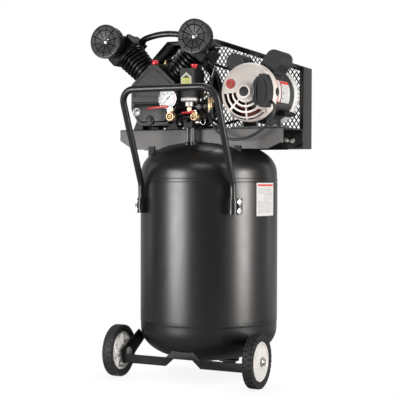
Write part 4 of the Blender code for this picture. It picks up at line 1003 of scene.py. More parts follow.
def crankcase():
    steps = []
    for s in (-1, 1):
        # a front and a rear foot, and the cylinder's seat
        for inner, near, far in ((0.050, CASE_F, -0.063), (0.058, 0.020, CASE_B + 0.003)):
            foot = [(s * 0.084, -0.1292), (s * inner, -0.1292), (s * 0.046, -0.112),
                    (s * 0.056, -0.088), (s * 0.066, -0.088)]
            steps.append((ADD, prism(placed(foot, CRANK), near, far)))
        steps.append((ADD, rod(0.0475, 0.060, SEAT, (CRANK_X, CYL_Y, CRANK_Z),
                               bank_axes(s)[0], 56)))
    steps.append((ADD, rod(0.034, CASE_B - 0.006, 0.0775, CRANK, Y, 48)))
    # cast cooling ribs along the left and right walls
    for k in range(5):
        z = -0.052 + 0.0155 * k
        steps.append((ADD, box(CRANK_X - 0.0855, CRANK_X + 0.0855, CASE_F + 0.012,
                               CASE_B - 0.010, CRANK_Z + z - 0.0018, CRANK_Z + z + 0.0018)))
    # hollow for the crank and rods, the bearing bore, the barrel openings and the oil filler
    steps.append((CUT, prism(placed(CAVITY, CRANK), CASE_F - 0.01, CASE_B - 0.009)))
    steps.append((CUT, rod(0.0206, CASE_B - 0.02, 0.090, CRANK, Y, 48)))
    for s in (-1, 1):
        steps.append((CUT, rod(0.0355, 0.050, 0.095, (CRANK_X, CYL_Y, CRANK_Z),
                               bank_axes(s)[0], 48)))
    steps.append((CUT, rod(0.0062, 1.015, 1.05, OIL_AT, Z, 24)))
    return combine(prism(placed(fillet(CASE_OUT, 0.005), (CRANK)), CASE_F, CASE_B), *steps)


def cover():
    """A pentagonal lid: a rounded rim, and a panel raised from a recess."""
    half_radii = [0.010, 0.008, 0.014, 0.016, 0.016]
    rim = fillet(placed(COVER, CRANK), half_radii + half_radii[::-1], 6)
    recess = fillet(placed(RECESS, CRANK), [0.004, 0.012, 0.012, 0.012, 0.012, 0.004], 6)
    panel = fillet(placed(PANEL, CRANK), 0.010, 5)
    return combine(
        prism(rim, COVER_F + 0.0022, CASE_F - GAP),
        (ADD, prism(inset(rim, 0.0008), COVER_F, COVER_F + 0.005)),
        (CUT, prism(recess, COVER_F - 0.01, COVER_F + 0.0028)),
        (ADD, prism(panel, COVER_F + 0.0012, COVER_F + 0.006)),
        (CUT, rod(0.0150, -0.108, -0.080, CRANK, Y, 48)))


def sump_bulge():
    """The lower, full-width swell of the lid."""
    outline = fillet(placed(SUMP, CRANK), 0.012, 6)
    # inset from the outline, y from the cover's front
    levels = ((0.0, 0.0030), (0.0, 0.0015), (0.0006, -0.0012), (0.0022, -0.0030),
              (0.0048, -0.0042), (0.0080, -0.0048))
    return skin([[(p.x, COVER_F + y, p.y) for p in inset(outline, d)] for d, y in levels])


piece("crankcase_casting", crankcase(), CAST_FLAT, rep="crankcase", bev=0.0009)
piece("case_cover", cover(), CASE, rep="crankcase_cover", bev=0.0013, seg=3)
piece("sump_bulge", sump_bulge(), CASE, sharp=60)
piece("cover_ridge",
      sweep([(CRANK_X + dx, COVER_F + 0.0005, 0.9030) for dx in (-0.0765, 0.0765)], 0.0026, 20),
      CASE)

SIGHT = (CRANK_X - 0.058, 0, CRANK_Z - 0.0724)
piece("sight_boss", rod(0.0172, COVER_F - 0.0046, COVER_F + 0.004, SIGHT, Y, 48, soften=0.0015),
      CASE)
piece("sight_ring",
      lathe(soft([(0.0098, COVER_F - 0.0048), (0.0140, COVER_F - 0.0048),
                  (0.0140, COVER_F - 0.0066), (0.0125, COVER_F - 0.0080),
                  (0.0105, COVER_F - 0.0078), (0.0098, COVER_F - 0.0066)], 0.0004),
            SIGHT, Y, 56), DULL, rep="sight_glass")
piece("sight_window",
      lathe([(0, COVER_F - 0.0049), (0.0099, COVER_F - 0.0049), (0.0099, COVER_F - 0.0060),
             (0.0060, COVER_F - 0.0066), (0, COVER_F - 0.0068)], SIGHT, Y, 48),
      GLASS_GREY)
# painted reflection: three pale streaks laid on the sight window's glass
blade = [(0.0020, -0.0010), (0.0086, -0.0022), (0.0086, 0.0022), (0.0020, 0.0010)]
piece("sight_glass_painted_streaks",
      joined(*[prism(blade, COVER_F - 0.0071, COVER_F - 0.0064, SIGHT, *spoke(angle))
               for angle in (0.6, 2.7, 4.8)]), SIGHT_PAINTED_REFLECTION)

PLUG = (CRANK_X - 0.0093, 0, 0.8459)
piece("drain_plug_boss",
      rod(0.0150, COVER_F - 0.0080, COVER_F + 0.002, PLUG, Y, 48, soften=0.0020),
      CASE)
piece("drain_plug", joined(
    crowned_hex(0.0100, COVER_F - 0.0125, COVER_F - 0.0078, PLUG, Y, 0.4,
                [(0, COVER_F - 0.013), (0.0080, COVER_F - 0.0126),
                 (0.0102, COVER_F - 0.0108), (0.0102, COVER_F - 0.007), (0, COVER_F - 0.007)]),
    rod(0.0040, COVER_F - 0.0138, COVER_F - 0.0120, PLUG, Y, 24, soften=0.0008)),
    CASE)
bolts("pump_foot_bolt",
      [(CRANK_X + s * 0.0765, y, CRANK_Z - 0.1120) for y in (-0.080, 0.036) for s in (-1, 1)],
      Z, 0.0060, 0.0055, sink=0.004)

dress("crankshaft", STEEL, 0.0003)
for name in ("piston_left", "piston_right", "connecting_rod_left", "connecting_rod_right"):
    dress(name, DIE)


# ================================================================ cylinders
def barrel(side, word):
    """A finned barrel with nuts on its foot."""
    centre = Vector((CRANK_X, CYL_Y, CRANK_Z))
    along, across = bank_axes(side)
    profile = [(BORE_R, SEAT + GAP), (0.0480, SEAT + GAP), (0.0485, SEAT + 0.0008),
               (0.0485, 0.0788), (0.0478, 0.0798), (0.0365, 0.0800), (0.0352, 0.0812)]
    for i in range(6):
        h = 0.0905 + 0.0140 * i
        tip = FIN_R - 0.0014 * (5 - i)
        profile += [(0.0352, h - 0.0026), (0.0366, h - 0.0019), (tip - 0.0006, h - 0.0011),
                    (tip, h - 0.0004), (tip, h + 0.0004), (tip - 0.0006, h + 0.0011),
                    (0.0366, h + 0.0019), (0.0352, h + 0.0026)]
    profile += [(0.0356, CYL_TOP - 0.0075), (0.0498, CYL_TOP - 0.0072),
                (0.0504, CYL_TOP - 0.0064), (0.0504, CYL_TOP - 0.0006), (0.0498, CYL_TOP),
                (BORE_R, CYL_TOP)]
    piece("barrel_" + word, lathe(profile, centre, along, 72), CAST, rep="cylinder_" + word,
          sharp=30)
    bolts("barrel_nut_" + word,
          [centre + across * (a * 0.0335) + BACK * (b * 0.0335) + along * 0.0800
           for b in (1, -1) for a in (1, -1)],
          along, 0.0048, 0.0048, finish=CAST, slot="cylinder_" + word)


def cylinder_head(side, word):
    """A plate with tall shaped fins, a raised chest and four bolt bosses, over a gasket."""
    along, across = bank_axes(side)
    axes = (CRANK, across, along, BACK)
    steps = []
    teeth = 7
    pitch = (2 * HEAD_HALF - 0.0036) / (teeth - 1)
    for i in range(teeth):
        start = -HEAD_HALF + pitch * i
        top = HEAD_OUT - (0.010 if i in (0, teeth - 1) else 0.0)
        # y, distance along the cylinder
        fin = [(HEAD_F + 0.002, 0.2050), (HEAD_B - 0.002, 0.2050), (HEAD_B - 0.006, top - 0.010),
               (HEAD_B - 0.014, top - 0.001), (HEAD_B - 0.024, top - 0.006),
               (HEAD_B - 0.046, top - 0.006), (HEAD_B - 0.056, top), (HEAD_B - 0.072, top),
               (HEAD_F + 0.010, top - 0.006), (HEAD_F + 0.004, top - 0.016)]
        steps.append((ADD, prism(fillet(fin, 0.004, 3), start, start + 0.0036, CRANK, BACK,
                                 along, across)))
    chest = fillet(block(-0.016, 0.016, 0.20, 0.2285), 0.004, 4)
    steps.append((ADD, prism(chest, HEAD_F + 0.006, HEAD_F + 0.040, *axes)))
    places = [Vector((CRANK_X, y, CRANK_Z)) + across * (a * 0.0430)
              for y in (HEAD_F + 0.009, HEAD_B - 0.009) for a in (1, -1)]
    steps += [(ADD, rod(0.0080, 0.190, 0.2120, place, along, 24)) for place in places]
    plate = fillet(block(-HEAD_HALF, HEAD_HALF, CYL_TOP + GAP, 0.2060), 0.002, 3)
    slot = "cylinder_head_" + word
    piece("head_" + word, combine(prism(plate, HEAD_F, HEAD_B, *axes), *steps), CAST_FLAT,
          rep=slot, bev=0.0006)
    piece("head_gasket_" + word,
          prism(block(-0.0505, 0.0505, CYL_TOP - 0.0006, CYL_TOP + 0.0012), HEAD_F + 0.0015,
                HEAD_B - 0.0015, *axes), GASKET)
    bolts("head_bolt_" + word, [place + along * 0.2119 for place in places], along, 0.0050,
          0.0058, finish=ZINC if side > 0 else CAST, slot=slot)


def air_filter(side, word):
    """A cup with a stub into the head, a ribbed lid and a wing nut."""
    spot = Vector((CRANK_X, CYL_Y, CRANK_Z)) + bank_axes(side)[0] * FILTER_AT
    centre = (spot.x, 0, spot.z)
    edge = FILTER_R
    slot = "air_filter_" + word
    cup = [(0, -0.1460), (edge - 0.0050, -0.1460), (edge - 0.0035, -0.1460),
           (edge - 0.0035, -0.1400), (edge - 0.0040, -0.1375), (edge - 0.0040, -0.1130),
           (edge - 0.0052, -0.1095), (edge - 0.0080, -0.1080), (0.0150, -0.1080),
           (0.0130, -0.1062), (0.0130, HEAD_F - 0.0004), (0, HEAD_F - 0.0004)]
    piece("filter_cup_" + word, lathe(cup, centre, Y, 96), PLASTIC, rep=slot, sharp=30)
    lid = [(0, -0.1405), (edge - 0.0024, -0.1405), (edge - 0.0004, -0.1412), (edge, -0.1425),
           (edge, -0.1498), (edge - 0.0012, -0.1518), (edge - 0.0035, -0.1527),
           (edge - 0.0075, -0.1528), (edge - 0.0082, -0.1520), (0.0395, -0.1518),
           (0.0388, -0.1500), (0.0368, -0.1500), (0.0361, -0.1516), (0.0210, -0.1506),
           (0.0130, -0.1488), (0.0090, -0.1482), (0, -0.1482)]
    groove = fan(0.0135, edge - 0.0060, -0.0012, -0.0015)
    floor_outline = fan(0.0137, edge - 0.0062, -0.00115, -0.00145)
    grooves, floors = [], []
    for k in range(10):
        axes = spoke(tau * (k + 0.31) / 10)
        grooves.append(prism(groove, -0.1600, -0.1478, centre, *axes))
        floors.append(prism(floor_outline, -0.1486, -0.1474, centre, *axes))
    piece("filter_lid_" + word, combine(lathe(lid, centre, Y, 96), (CUT, joined(*grooves))),
          FILTER, bev=0.0003, seg=1)
    floors.append(tube(0.0364, 0.0392, -0.1508, -0.1497, centre, Y, 72))
    piece("filter_groove_shadow_" + word, joined(*floors), PAINTED_SHADE)
    # painted shade: dark strips on the cup wall stand in for the vent openings, which are not cut
    vent = [(edge - 0.0046, -0.0019), (edge - 0.00385, -0.0019), (edge - 0.00385, 0.0019),
            (edge - 0.0046, 0.0019)]
    piece("filter_vent_painted_shade_" + word,
          joined(*[prism(vent, -0.1340, -0.1170, centre, *spoke(tau * k / 26))
                   for k in range(26)]), PAINTED_SHADE)
    ear = fillet([(0.0026, -0.1486), (0.0120, -0.1500), (0.0158, -0.1526), (0.0142, -0.1530),
                  (0.0028, -0.1520)], 0.0004, 2)
    wing = [lathe(soft([(0, -0.1478), (0.0060, -0.1478), (0.0060, -0.1490), (0, -0.1490)],
                       0.0003), centre, Y, 28),
            lathe(soft([(0, -0.1485), (0.0040, -0.1485), (0.0034, -0.1526), (0, -0.1529)],
                       0.0008), centre, Y, 24)]
    out, sideways = spoke(radians(24 if side < 0 else 8))
    wing += [prism(ear, -0.0019, 0.0019, centre, out * s, BACK, sideways * s) for s in (-1, 1)]
    piece("filter_wing_nut_" + word, joined(*wing), CHROME)


for side, word in SIDES:
    barrel(side, word)
    cylinder_head(side, word)
    air_filter(side, word)


def head_link():
    """The pipe that arches between the two heads, and its nuts."""
    ends = []
    for side in (-1, 1):
        along, across = bank_axes(side)
        point = Vector(CRANK) + along * 0.1890 + across * (HEAD_HALF + GAP)
        ends.append((point + Vector((0, -0.020, 0)), across))
    (left, left_out), (right, right_out) = ends
    # x and z from the crank's axis
    crown = [(-0.066, 0.1878), (-0.034, 0.1938), (0.0, 0.1960), (0.034, 0.1938), (0.066, 0.1878)]
    path = ([left, left + left_out * 0.013] + [(x, -0.020, z) for x, z in placed(crown, CRANK)]
            + [right + right_out * 0.013, right])
    nuts = joined(*[hexagon(0.0138, 0.0, 0.009, *end) for end in ends])
    return sweep(spline(path), 0.0105, 32), nuts


link, link_nuts = head_link()
piece("head_link_tube", link, POWDER, rep="interconnect_tube", sharp=50)
piece("head_link_nuts", link_nuts, CAST_FLAT, bev=0.0005)

# ================================================================ delivery, oil and breather
DOWN_X, DOWN_Y, FOOT_Y = 0.070, -0.135, -0.078
FOOT_Z = HEAD_TOP_Z + head_curve(hypot(DOWN_X, FOOT_Y) - 0.012) + 0.0006


def delivery_tube():
    """From the right head forward and down, then through the deck to the tank."""
    along, across = bank_axes(1)
    start = Vector((CRANK_X, -0.060, CRANK_Z)) + along * 0.190 - across * (HEAD_HALF + GAP)
    path = [start, start - across * 0.034, (DOWN_X, DOWN_Y, 0.970), (DOWN_X, DOWN_Y, 0.846),
            (DOWN_X, FOOT_Y, 0.834), (DOWN_X, FOOT_Y, FOOT_Z + 0.004)]
    return sweep(rounded(path, 0.011, 8), 0.0058, 24)


piece("delivery_tube", delivery_tube(), CAST, rep="discharge_tube", sharp=50)
UNION_AT = (0.0665, -0.135, 0.0050)
piece("delivery_union", joined(
    chamfered_hex(0.0106, 0.8920, 0.9060, UNION_AT, turn=0.25),
    tube(0.005, 0.0084, 0.8860, 0.8922, UNION_AT, soften=0.0005),
    chamfered_hex(0.0100, 0.8740, 0.8865, UNION_AT, turn=0.1),
    rod(0.0078, 0.8660, 0.8745, UNION_AT, soften=0.001)), BRASS)
piece("delivery_foot_nut", chamfered_hex(0.0120, FOOT_Z, FOOT_Z + 0.016, (DOWN_X, FOOT_Y, 0)),
      BRASS)

piece("oil_cap",
      lathe(soft([(0, 1.0225), (0.0055, 1.0225), (0.0055, 1.0314), (0.0108, 1.0314),
                  (0.0116, 1.0330), (0.0122, 1.0375), (0.0116, 1.0425), (0.0090, 1.0452),
                  (0.0050, 1.0460), (0, 1.0460)], 0.0004), OIL_AT, segs=20),
      RED_PLASTIC, rep="oil_filler_cap", bev=0.0002)
piece("oil_neck",
      lathe(soft([(0.006, 1.0215), (0.0105, 1.0215), (0.0098, 1.0312), (0.006, 1.0312)],
                 0.0006), OIL_AT, segs=32), CASE)
BREATHER, BREATHER_Z = (-0.1316, -0.060, 0), CRANK_Z + 0.0785
piece("breather", joined(
    rod(0.0042, BREATHER_Z, BREATHER_Z + 0.012, BREATHER, Z, 24),
    chamfered_hex(0.0078, BREATHER_Z + 0.009, BREATHER_Z + 0.0165, BREATHER),
    lathe(soft([(0, BREATHER_Z + 0.016), (0.0060, BREATHER_Z + 0.016),
                (0.0062, BREATHER_Z + 0.0225), (0, BREATHER_Z + 0.0240)], 0.0010),
          BREATHER, Z, 28)), BRASS)


# ================================================================ drive
def grooved_rim(inner, outer, groove, back):
    """Section of a wheel with one belt groove; back is its half-width behind the belt."""
    mid = BELT_MID_Y
    return soft([(inner, mid - 0.018), (outer, mid - 0.018), (outer, mid - 0.0082),
                 (groove, mid - 0.0055), (groove, mid + 0.0055), (outer, mid + 0.0082),
                 (outer, mid + back), (inner, mid + back)], 0.0008, 2)


def flywheel():
    mid = BELT_MID_Y
    steps = [(ADD, tube(0.0150, 0.0280, mid - 0.0200, mid + 0.0195, CRANK, Y, 48,
                        soften=0.0010))]
    arm = [(0.024, -0.013), (0.060, -0.0095), (0.1205, -0.0125), (0.1205, 0.0125),
           (0.060, 0.0095), (0.024, 0.013)]
    for k in range(5):
        axes = spoke(tau * (k + 0.25) / 5)
        steps.append((ADD, prism(arm, mid - 0.007, mid + 0.007, CRANK, *axes)))
    return combine(lathe(grooved_rim(0.1180, FLY_R, 0.1235, 0.018), CRANK, Y, 120), *steps)


def belt():
    """A wedge section run round the flywheel and the motor pulley."""
    fly, motor = Vector((CRANK_X, CRANK_Z)), Vector((MOTOR_X, MOTOR_Z))
    line = motor - fly
    spread = math.acos((BELT_R_FLY - BELT_R_MOTOR) / line.length)
    base = math.atan2(line.y, line.x)
    # radial offset, y offset
    section = [(-0.0042, -0.0040), (-0.0042, 0.0040), (0.0036, 0.0056), (0.0042, 0.0052),
               (0.0042, -0.0052), (0.0036, -0.0056)]
    stations = [(fly, BELT_R_FLY, base + spread + (2 * pi - 2 * spread) * i / 80)
                for i in range(81)]
    stations += [(motor, BELT_R_MOTOR, base - spread + 2 * spread * i / 30) for i in range(31)]
    return skin([[(centre.x + (radius + dr) * cos(angle), BELT_MID_Y + dy,
                   centre.y + (radius + dr) * sin(angle)) for dr, dy in section]
                 for centre, radius, angle in stations], closed=True)


piece("flywheel_casting", flywheel(), CAST, "crank", "flywheel", bev=0.0005)
piece("pulley", lathe(grooved_rim(0.0086, PULLEY_R, 0.0330, 0.016), MOTOR, Y, 72), STEEL,
      "motor_drive", "motor_pulley")
piece("drive_belt", belt(), BELT, rep="v_belt", sharp=30)


# ================================================================ motor
def motor_shell():
    """The motor's tube on a base plate, held by two upright rails."""
    parts = [box(MOTOR_X - 0.078, MOTOR_X + 0.078, -0.072, 0.046, DECK_Z + GAP, DECK_Z + 0.005)]
    for s in (-1, 1):
        rail = sorted((MOTOR_X + s * 0.040, MOTOR_X + s * 0.046))
        parts.append(box(*rail, -0.068, 0.042, DECK_Z + 0.002, MOTOR_Z - 0.072))
    shell = lathe([(0.0862, -0.1045), (MOTOR_R - 0.0006, -0.1045), (MOTOR_R, -0.1038),
                   (MOTOR_R, 0.0508), (MOTOR_R - 0.0006, 0.0515), (0.0862, 0.0515)],
                  MOTOR, Y, 112)
    return combine(shell, *[(ADD, part) for part in parts],
                   (CUT, rod(0.0861, -0.120, 0.070, MOTOR, Y, 112)))


piece("motor_body", motor_shell(), POWDER_PAINTED_LIGHT, rep="motor_shell", bev=0.0005)
bolts("motor_foot_bolt",
      [(MOTOR_X + s * 0.064, y, DECK_Z + 0.0052) for y in (-0.058, 0.032) for s in (-1, 1)],
      Z, 0.0058, 0.0050)
# the base's upturned side, running under the body on the right
piece("motor_base_wing",
      prism(fillet([(0.2500, 0.8600), (0.2560, 0.8765), (0.2885, 0.8675), (0.2905, 0.8560),
                    (0.2700, 0.8530)], [0, 0, 0.003, 0.003, 0.002], 3), -0.048, 0.044),
      FRAME, bev=0.0006)

RESET = (MOTOR_X - 0.0520, 0, MOTOR_Z + 0.0262)
BELL_BOLTS = [(MOTOR_X + 0.0855 * cos(radians(a)), MOTOR_Z + 0.0855 * sin(radians(a)))
              for a in (44, 135, 224.5, 315.5)]


def bell_slot(inner, outer, start, end):
    """A curved slot; its points fall on the bell's own facets between start and end."""
    facet = 360.0 / 128
    stops = [facet * k for k in range(int(start / facet) + 1, int(end / facet) + 1)
             if start + 0.3 < facet * k < end - 0.3]
    stops = [start] + stops + [end]
    outline = arc((0, 0), outer, stops) + arc((0, 0), inner, reversed(stops))
    return prism(outline, -0.1600, -0.1205, MOTOR)


def front_bell():
    """A slotted dome with a stepped nose, bolt bosses and a collar for the reset button."""
    outer = [
        (0.0912, -0.1050), (BELL_R, -0.1050), (BELL_R, -0.1150), (0.0932, -0.1185),
        (0.0924, -0.1225), (0.0902, -0.1280), (0.0862, -0.1330), (0.0800, -0.1372),
        (0.0700, -0.1402), (0.0560, -0.1425), (0.0420, -0.1440), (0.0322, -0.1448),
        (0.0308, -0.1456), (0.0300, -0.1482), (0.0290, -0.1488), (0.0272, -0.1490),
        (0.0264, -0.1498), (0.0258, -0.1528), (0.0248, -0.1534), (0.0232, -0.1536),
        (0.0224, -0.1544), (0.0218, -0.1595), (0.0208, -0.1608), (0.0162, -0.1610),
        (0.0156, -0.1602), (0.0154, -0.1500)]
    inner = [(0.0154, -0.1412), (0.0300, -0.1408), (0.0500, -0.1392), (0.0755, -0.1325),
             (0.0860, -0.1242), (0.0885, -0.1175), (0.0885, -0.1050)]
    rows = [(0.0335, 0.0425), (0.0485, 0.0605), (0.0665, 0.0785), (0.0835, 0.0875)]
    # start and end angle, number of rows
    sectors = ((183, 222, 3), (227.5, 268.2, 4), (271.8, 311, 4))
    slots = [bell_slot(*row, start, end) for start, end, count in sectors
             for row in rows[:count]]
    boss = soft([(0, -0.1180), (0.0080, -0.1180), (0.0072, -0.1355), (0, -0.1355)], 0.0015)
    steps = [(ADD, lathe(boss, (x, 0, z), Y, 32)) for x, z in BELL_BOLTS]
    steps.append((ADD, rod(0.0163, -0.1440, -0.1370, RESET, Y, 48, soften=0.0008)))
    steps.append((CUT, rod(0.0086, -0.1600, -0.1300, RESET, Y)))
    steps.append((CUT, joined(*slots)))
    return combine(lathe(outer + inner, MOTOR, Y, 128), *steps)


piece("motor_bell_front", front_bell(), DIE, rep="motor_front_bell", bev=0.0004)
bolts("bell_bolt", [(x, -0.1354, z) for x, z in BELL_BOLTS], FORWARD, 0.0040, 0.0036,
      finish=DIE, slot="motor_front_bell")
piece("bell_cap",
      combine(lathe(soft([(0, -0.1460), (0.0153, -0.1460), (0.0153, -0.1600),
                          (0.0140, -0.1608), (0, -0.1610)], 0.0005), MOTOR, Y, 56),
              (CUT, box(MOTOR_X - 0.0070, MOTOR_X + 0.0070, -0.17, -0.1604, MOTOR_Z - 0.0008,
                        MOTOR_Z + 0.0008))), PLASTIC)
piece("reset_bezel",
      lathe(soft([(0.0090, -0.1420), (0.0155, -0.1420), (0.0155, -0.1462), (0.0132, -0.1482),
                  (0.0104, -0.1486), (0.0090, -0.1470)], 0.0007), RESET, Y, 56),
      RED_SOFT)
piece("reset_plunger",
      lathe([(0, -0.1370), (0.0080, -0.1370), (0.0080, -0.1470), (0.0072, -0.1480),
             (0.0052, -0.1482), (0.0044, -0.1476), (0.0040, -0.1440), (0, -0.1438)],
            RESET, Y, 40), RED_SOFT, "reset_push", "reset_button")
# painted shade: a dark disc in the plunger's dimple
piece("reset_plunger_bore",
      lathe([(0, -0.1439), (0.0039, -0.1441), (0.0039, -0.1450), (0, -0.1452)], RESET, Y, 24),
      BRASS_PAINTED_SHADE, "reset_push")
piece("motor_windings",
      lathe(soft([(0.0560, -0.0700), (0.0560, -0.0900), (0.0610, -0.0945), (0.0740, -0.0945),
                  (0.0785, -0.0900), (0.0785, -0.0700)], 0.003), MOTOR, Y, 72),
      WINDING)


def winding_strand(start):
    """A slanted strand, bowed forward, over the end of the windings."""
    path = []
    for f in (j / 8 for j in range(9)):
        angle = start + 0.20 * f
        radius = 0.0575 + 0.0200 * f
        path.append((MOTOR_X + radius * cos(angle), -0.0950 - 0.0022 * sin(pi * f),
                     MOTOR_Z + radius * sin(angle)))
    return sweep(path, 0.0016, 8)


piece("winding_strands", joined(*[winding_strand(tau * k / 36) for k in range(36)]), WINDING)
dress("motor_stator", WINDING)
dress("motor_rotor", ROTOR)
piece("motor_fan_hub", rod(0.0150, -0.1290, -0.1000, MOTOR, Y), PLASTIC_DARK, "motor_drive")

REAR_BELL_R = 0.0942


def rear_bell():
    profile = [
        (REAR_BELL_R, 0.0400), (0.0918, 0.0400), (0.0918, 0.0517), (0.0885, 0.0520),
        (0.0885, 0.0700), (0.0700, 0.0880), (0.0300, 0.0895), (0.0110, 0.0895),
        (0.0110, 0.0950), (0.0720, 0.0952), (0.0820, 0.0945), (0.0900, 0.0925),
        (0.0930, 0.0905), (REAR_BELL_R, 0.0870)]
    slots = [prism(block(0.0800, 0.1000, -0.0021, 0.0021), 0.0690, 0.0810, MOTOR,
                   *spoke(tau * (k + 0.5) / 40)) for k in range(40)]
    return combine(lathe(profile, MOTOR, Y, 128), (CUT, joined(*slots)))


piece("motor_bell_rear", rear_bell(), SILVER, rep="motor_rear_bell", bev=0.0004)


def motor_patch(start, end, y0, y1, low, high, radius=MOTOR_R, steps=20):
    """A thin sheet round the motor; angles in degrees, low and high above the radius."""
    def on_motor(degrees, y, lift):
        angle = radians(degrees)
        return MOTOR_X + (radius + lift) * cos(angle), y, MOTOR_Z + (radius + lift) * sin(angle)

    return patch(on_motor, (start, end), (y0, y1), (low, high), steps)


# angles, y limits, lift limits
for name, finish, spans in (
        ("motor_label_strip_edge", PRINT_RED, (-20, 25, -0.0985, -0.0720, 0.0002, 0.0005)),
        ("motor_label_strip", PAPER, (-18.5, 23.5, -0.0945, -0.0750, 0.0004, 0.0007)),
        ("motor_label", PAPER, (-19.5, 24, -0.0655, 0.0035, 0.0002, 0.0005)),
        ("motor_label_header", PRINT_RED, (17.5, 23.4, -0.0640, 0.0020, 0.0004, 0.0007))):
    piece(name, motor_patch(*spans), finish)
lines = []
for i in range(9):
    angle = 13.2 - i * 3.7
    end = -0.004 - 0.016 * random.random()
    gap = -0.056 + 0.022 * random.random()
    for span in ((-0.0600, gap), (gap + 0.0030, end)):
        lines.append(motor_patch(angle - 0.5, angle + 0.35, *span, 0.0004, 0.0006, steps=2))
piece("motor_label_lines", joined(*lines), PRINT_GREY)
piece("motor_label_marks", joined(
    motor_patch(-2.5, 0.5, -0.0590, -0.0500, 0.0004, 0.0007, steps=2),
    motor_patch(-12.5, -10.5, -0.0590, -0.0520, 0.0004, 0.0007, steps=2)),
    PRINT_BLACK)
piece("rear_label", motor_patch(-34, 30, 0.0415, 0.0668, 0.0002, 0.0005, REAR_BELL_R, 26),
      LABEL_WHITE)
lines = []
for i in range(15):
    angle = 26 - i * 3.9
    for y in (0.0440, 0.0525, 0.0600):
        width = 0.003 + 0.0035 * random.random()
        lines.append(motor_patch(angle - 0.6, angle + 0.4, y, y + width, 0.0004, 0.0007,
                                 REAR_BELL_R, 2))
piece("rear_label_lines", joined(*lines), PRINT_GREY)
piece("bell_grommet",
      lathe(soft([(0, 0.0880), (0.0132, 0.0880), (0.0132, 0.0940), (0.0100, 0.0952),
                  (0, 0.0954)], 0.0006), (MOTOR_X, -0.1100, MOTOR_Z), spoke(radians(-0.5))[0], 48),
      PLASTIC)


# ---------------------------------------------------------------- capacitor covers
def cover_axes(degrees):
    """Axes for prism() round the motor: across the cover, out from the motor, along y."""
    out, across = spoke(radians(degrees))
    return MOTOR, across, out, BACK


def slanted_slots(degrees, y0, grow, near, far):
    """Four slanted slots in the cover's side, grown all round."""
    _, across, out, _ = cover_axes(degrees)
    slots = []
    for k in range(4):
        y = y0 + 0.012 + 0.0235 * k
        outline = [(y - grow, 0.1000 - grow), (y + 0.0090 + grow, 0.1000 - grow),
                   (y + 0.0140 + grow, 0.1240 + grow), (y + 0.0050 - grow, 0.1240 + grow)]
        slots.append(prism(outline, near, far, MOTOR, BACK, out, across))
    return joined(*slots)


def capacitor_cover(degrees, y0, y1):
    """A round-topped hollow cover that sits on the motor's tube."""
    def arch(half):
        top = arc((0, 0.1310), half, [180 - 7.5 * i for i in range(25)])
        return [(-half, 0.0900)] + top + [(half, 0.0900)]

    axes = cover_axes(degrees)
    return combine(prism(arch(0.0270), y0, y1, *axes),
                   (CUT, prism(arch(0.0250), y0 + 0.002, y1 - 0.002, *axes)),
                   (CUT, rod(MOTOR_R + 0.0006, y0 - 0.02, y1 + 0.02, MOTOR, Y, 112)),
                   (CUT, slanted_slots(degrees, y0, 0.0, -0.0300, -0.0238)))


# side, angle round the motor, front and back ends
COVERS = (("right", 54, -0.104, -0.004), ("left", 126, -0.062, 0.040))
# painted shade: dark inserts just behind the slots cut in the capacitor covers
for word, degrees, y0, _ in COVERS:
    piece("capacitor_slot_painted_shade_" + word, slanted_slots(degrees, y0, 0.0004, -0.0258, -0.0249),
          PAINTED_SHADE)
for word, *place in COVERS:
    piece("capacitor_can_" + word, capacitor_cover(*place), PLASTIC,
          rep="capacitor_cover_" + word, bev=0.0007)
for i, (degrees, y) in enumerate(((54 - 20, -0.030), (54 + 20, -0.030), (126 + 20, -0.012))):
    out = spoke(radians(degrees))[0]
    hex_bolt("capacitor_screw_%d" % (i + 1),
             Vector((MOTOR_X, y, MOTOR_Z)) + out * (MOTOR_R + 0.0002), out, 0.0040, 0.0026,
             washer=False)


# ---------------------------------------------------------------- terminal cover and cable
def terminal_cover():
    """A C-shaped lid: its inner edge follows the hub, its outer edge the rim."""
    front = -0.1615
    # x and z from the motor's axis
    outer = [(0.0330, 0.0300), (0.0435, 0.0440), (0.0500, 0.0455), (0.0520, 0.0520),
             (0.0735, 0.0520), (0.0830, 0.0330), (0.0885, 0.0100), (0.0885, -0.0100),
             (0.0850, -0.0300), (0.0770, -0.0505), (0.0520, -0.0500), (0.0505, -0.0440),
             (0.0400, -0.0430), (0.0300, -0.0330)]
    inner = arc((0, 0), 0.0345, range(-30, 31, 6))
    outline = fillet(placed(outer, MOTOR), 0.0035, 4) + placed(inner, MOTOR)
    # the bell's outer surface, grown to clear it
    bell = [(0, -0.100), (BELL_R + 0.0006, -0.100), (BELL_R + 0.0006, -0.1178),
            (0.0906, -0.1285), (0.0866, -0.1336), (0.0803, -0.1377), (0.0702, -0.1407),
            (0.0561, -0.1430), (0.0324, -0.1454), (0.0324, -0.1530), (0, -0.1530)]
    pad = fillet(placed([(0.0470, -0.034), (0.0700, -0.034), (0.0760, 0), (0.0700, 0.034),
                         (0.0470, 0.034), (0.0460, 0)], MOTOR), 0.008, 6)
    return combine(prism(outline, front, -0.1150), (CUT, lathe(bell, MOTOR, Y, 128)),
                   (CUT, prism(inset(pad, -0.0032), -0.17, front + 0.0026)),
                   (ADD, prism(pad, front - 0.0002, front + 0.006)))


